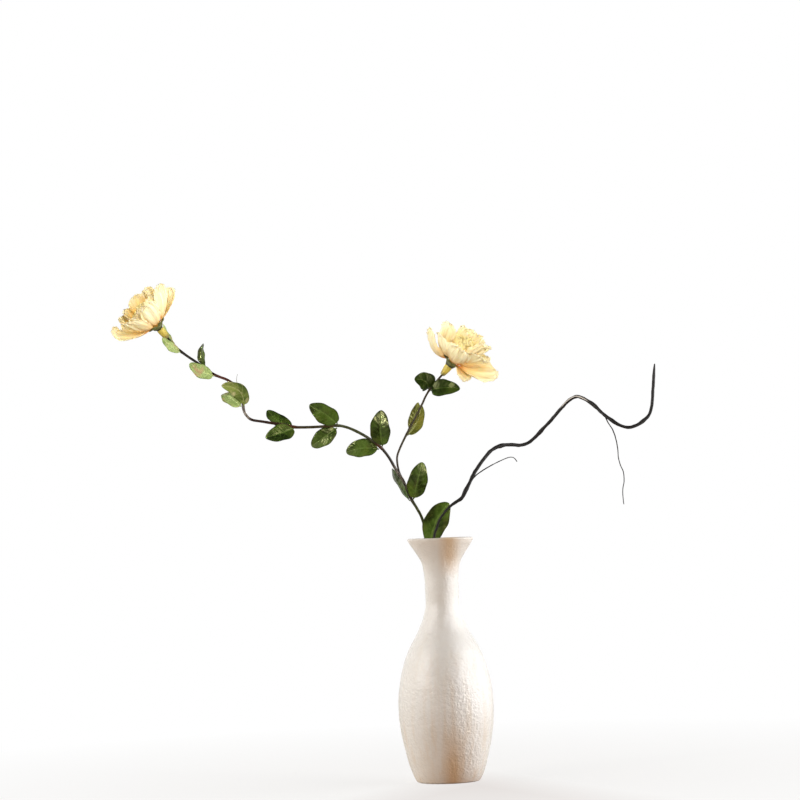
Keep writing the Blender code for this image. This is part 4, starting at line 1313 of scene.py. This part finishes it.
# %% Build the flowers
FLOWERS = {    # foot, axis, radius of the solid neck, of its skin's top and foot, heart's reach
    "left": ((-265.9, -4.1, 451.7), (-0.61, -0.22, 0.76), 3.8, (3.8, 2.7), 21.5),
    "right": ((8.5, 16.4, 406), (0.63, -0.20, 0.75), 4.8, (4.0, 1.9), 25),
}
# how much golden tone and painted glow each ring's petals take
GOLD_AND_GLOW_SHARE = {"outer": 0.22, "inner": 0.60}
HOLLOW = range(126, 250)         # azimuths of the petals round the left bloom's hollow, which take the most gold and painted glow
HOLLOW_GOLD_AND_GLOW = 1.1
CUP_FLOOR = 0.45                 # the height of the calyx's floor, as a share of its own
CUP_FOOT = 0.9                   # the radius of its foot, as a share of the neck's


def flower(side, foot, axis, solid_neck, neck, reach):
    axes = flower_frame(axis)
    axis = axes[2]
    cup_foot = mm(foot) + axis * (NECK_LENGTH + GAP)
    cup_floor = CALYX_HEIGHT * CUP_FLOOR
    centre = cup_foot + axis * (CALYX_HEIGHT + RIM_CLEARANCE)
    flower_neck(side, mm(foot), axes, *mm(neck))
    calyx(side, cup_foot, axes, mm(solid_neck) * CUP_FOOT, cup_floor, centre)
    depth = CALYX_HEIGHT + RIM_CLEARANCE - cup_floor - CUP_DIP - GAP - HAIR
    heart(side, centre, axes, depth, mm(reach))
    for ring, seat in (("outer", OUTER_SEAT), ("inner", INNER_SEAT)):
        for k, shape in enumerate(PETALS[side][ring]):
            name = f"{side}_{ring}_petal_{k + 1}"
            seed = 100 + 20 * (side == "right") + 10 * (ring == "inner") + k
            hollow = side == "left" and shape[0] in HOLLOW
            gold = HOLLOW_GOLD_AND_GLOW if hollow else GOLD_AND_GLOW_SHARE[ring]
            petal(name, seed, centre, axes, seat, gold, *shape)


for flower_side, flower_shape in FLOWERS.items():
    flower(flower_side, *flower_shape)

# %% [markdown]
# ## Floor and light
#
# White ceramic shows its form only if the light differs from side to side. So the room is a tent
# of soft light that is strong at the right, weaker at the left and dark and warm in front: the
# vase then has a bright flank on each side and a warm band down its middle. A tall lamp stands
# before each flank. Beside each is a glint lamp that is seen in reflections only, so it makes the
# glaze sparkle without flattening it. A fifth lamp lights only the flowers and leaves. The floor
# is plain and pale, and it fades into the plain white behind it, so no horizon shows.

# %% Room of light
PANELS = [                       # axis of the direction, where a panel begins and is full, colour
    (0, 0.71, 0.84, (3.6, 3.62, 3.65)),
    (0, -0.38, -0.72, (1.56, 1.5, 1.42)),
    (1, 0.45, 0.80, (1.0, 1.0, 1.0)),
]
ROOM = [                         # colour by height, from the horizon to overhead
    (0.0, (0.12, 0.07, 0.03)), (0.30, (0.02, 0.009, 0.003)), (1.0, (0.12, 0.1, 0.08)),
]
WHITE = (1.0, 1.0, 1.0)


def seen_directly(tree):
    return value_of(tree, "ShaderNodeLightPath", output="Is Camera Ray")


def studio_light():
    """Light by direction: Generated coordinates of the world are the direction's x, y and z. The
    camera sees plain white instead."""
    world = bpy.data.worlds.new("tent")
    bpy.context.scene.world = world
    world.use_nodes = True
    tree = world.node_tree
    tree.nodes.clear()
    direction = parts_of(value_of(tree, "ShaderNodeTexCoord", output="Generated"))
    glow = ramp(direction[2], ROOM)
    for axis, begins, full, colour in PANELS:
        glow = blend(levels(direction[axis], begins, full), glow, colour)
    light = value_of(tree, "ShaderNodeBackground", {"Color": glow})
    plain = value_of(tree, "ShaderNodeBackground", {"Color": WHITE})
    both = value_of(tree, "ShaderNodeMixShader", {0: seen_directly(tree), 1: light, 2: plain})
    add_node(tree, "ShaderNodeOutputWorld", {"Surface": both})


studio_light()
bpy.context.scene.view_settings.view_transform = "Standard"
print("panels of light", len(PANELS))

# %% Lamps
SHOULDER = (0.0, 0.0, 0.22)      # four lamps point at the vase's shoulder, one at the plant
PLANT = (-0.10, 0.0, 0.42)
PLANT_ENDINGS = ("_ruffled", "_stamens", "_ribbed", "_sepals", "_blade")
LAMPS = {                        # place, target, size, watts, colour
    "key_light": ((1.35, -0.88, 0.72), SHOULDER, (0.06, 1.40), 4.7, (1.0, 0.98, 0.95)),
    "side_light": ((-1.25, -0.95, 1.00), SHOULDER, (0.06, 0.50), 3.0, (1.0, 0.96, 0.9)),
    "glint_right": ((1.33, -0.92, 0.72), SHOULDER, (0.08, 1.40), 11.0, WHITE),
    "glint_left": ((-1.38, -0.74, 0.84), SHOULDER, (0.06, 0.45), 14.0, WHITE),
    "bloom_light": ((0.10, -1.75, 0.80), PLANT, (0.50, 0.50), 23.0, (1.0, 0.98, 0.95)),
}


def soft_box(name, place, target, size, watts, colour):
    lamp = bpy.data.lights.new(name, "AREA")
    lamp.shape = "RECTANGLE"
    lamp.size, lamp.size_y = size
    lamp.energy, lamp.color = watts, colour
    box = bpy.data.objects.new(name, lamp)
    bpy.context.scene.collection.objects.link(box)
    box.location = place
    box.visible_camera = False
    box.visible_diffuse = not name.startswith("glint")
    box.rotation_mode = "QUATERNION"
    box.rotation_quaternion = (Vector(target) - Vector(place)).to_track_quat("-Z", "Y")
    return box


def only_plant(box):
    """Light linking: the lamp lights flowers and leaves and not the vase, whose shading it would
    flatten."""
    plant = bpy.data.collections.new("plant")
    for piece in bpy.data.objects:
        if piece.name.endswith(PLANT_ENDINGS):
            plant.objects.link(piece)
    box.light_linking.receiver_collection = plant


boxes = {name: soft_box(name, *row) for name, row in LAMPS.items()}
only_plant(boxes["bloom_light"])
print("lamps", *boxes)

# %% Floor
FLOOR_RADIUS = 3.0
FLOOR_SIDES = 96
WEDGE_EDGE = (-0.05, 0.14)       # where the brown wedge is full and where it has faded
WEDGE_MIDDLE = 0.025
WEDGE_SLANT = 2.1
FADE = [(0.06, (0.72, 0.72, 0.72)), (0.80, WHITE)]    # how white the floor looks, by distance


def pale_floor():
    """A round floor. Near the vase it keeps a soft shadow, and beyond that it fades evenly into
    the white background. In front of the vase lies a brown wedge, whose bounce and reflection warm
    the middle of the glaze."""
    mesh = bpy.data.meshes.new("floor")
    turn = full_turn(FLOOR_SIDES)
    rim = np.column_stack([FLOOR_RADIUS * np.cos(turn), FLOOR_RADIUS * np.sin(turn), 0 * turn])
    mesh.from_pydata(rim.tolist(), [], [list(range(FLOOR_SIDES))])
    floor = bpy.data.objects.new("floor", mesh)
    bpy.context.scene.collection.objects.link(floor)
    made, tree, shader = new_finish("pale_floor")
    place = place_on(tree)
    x, y = parts_of(place, 2)
    wedge = levels(y + abs(x - WEDGE_MIDDLE) * WEDGE_SLANT, *WEDGE_EDGE)
    plug_all(shader, {"Base Color": blend(wedge, (0.32, 0.14, 0.03), (0.88, 0.85, 0.81)),
                      "Roughness": 0.9, "Specular IOR Level": 0.1})
    away = value_of(tree, "ShaderNodeVectorMath", {0: place}, "Value", operation="LENGTH")
    white = value_of(tree, "ShaderNodeEmission", {"Color": WHITE, "Strength": 1.0})
    mixed = value_of(tree, "ShaderNodeMixShader", {0: ramp(away, FADE) * seen_directly(tree),
                                                   1: Value(shader.outputs[0]), 2: white})
    plug(tree.nodes["Material Output"].inputs["Surface"], mixed)
    mesh.materials.append(made)


pale_floor()
print("floor of radius", FLOOR_RADIUS)
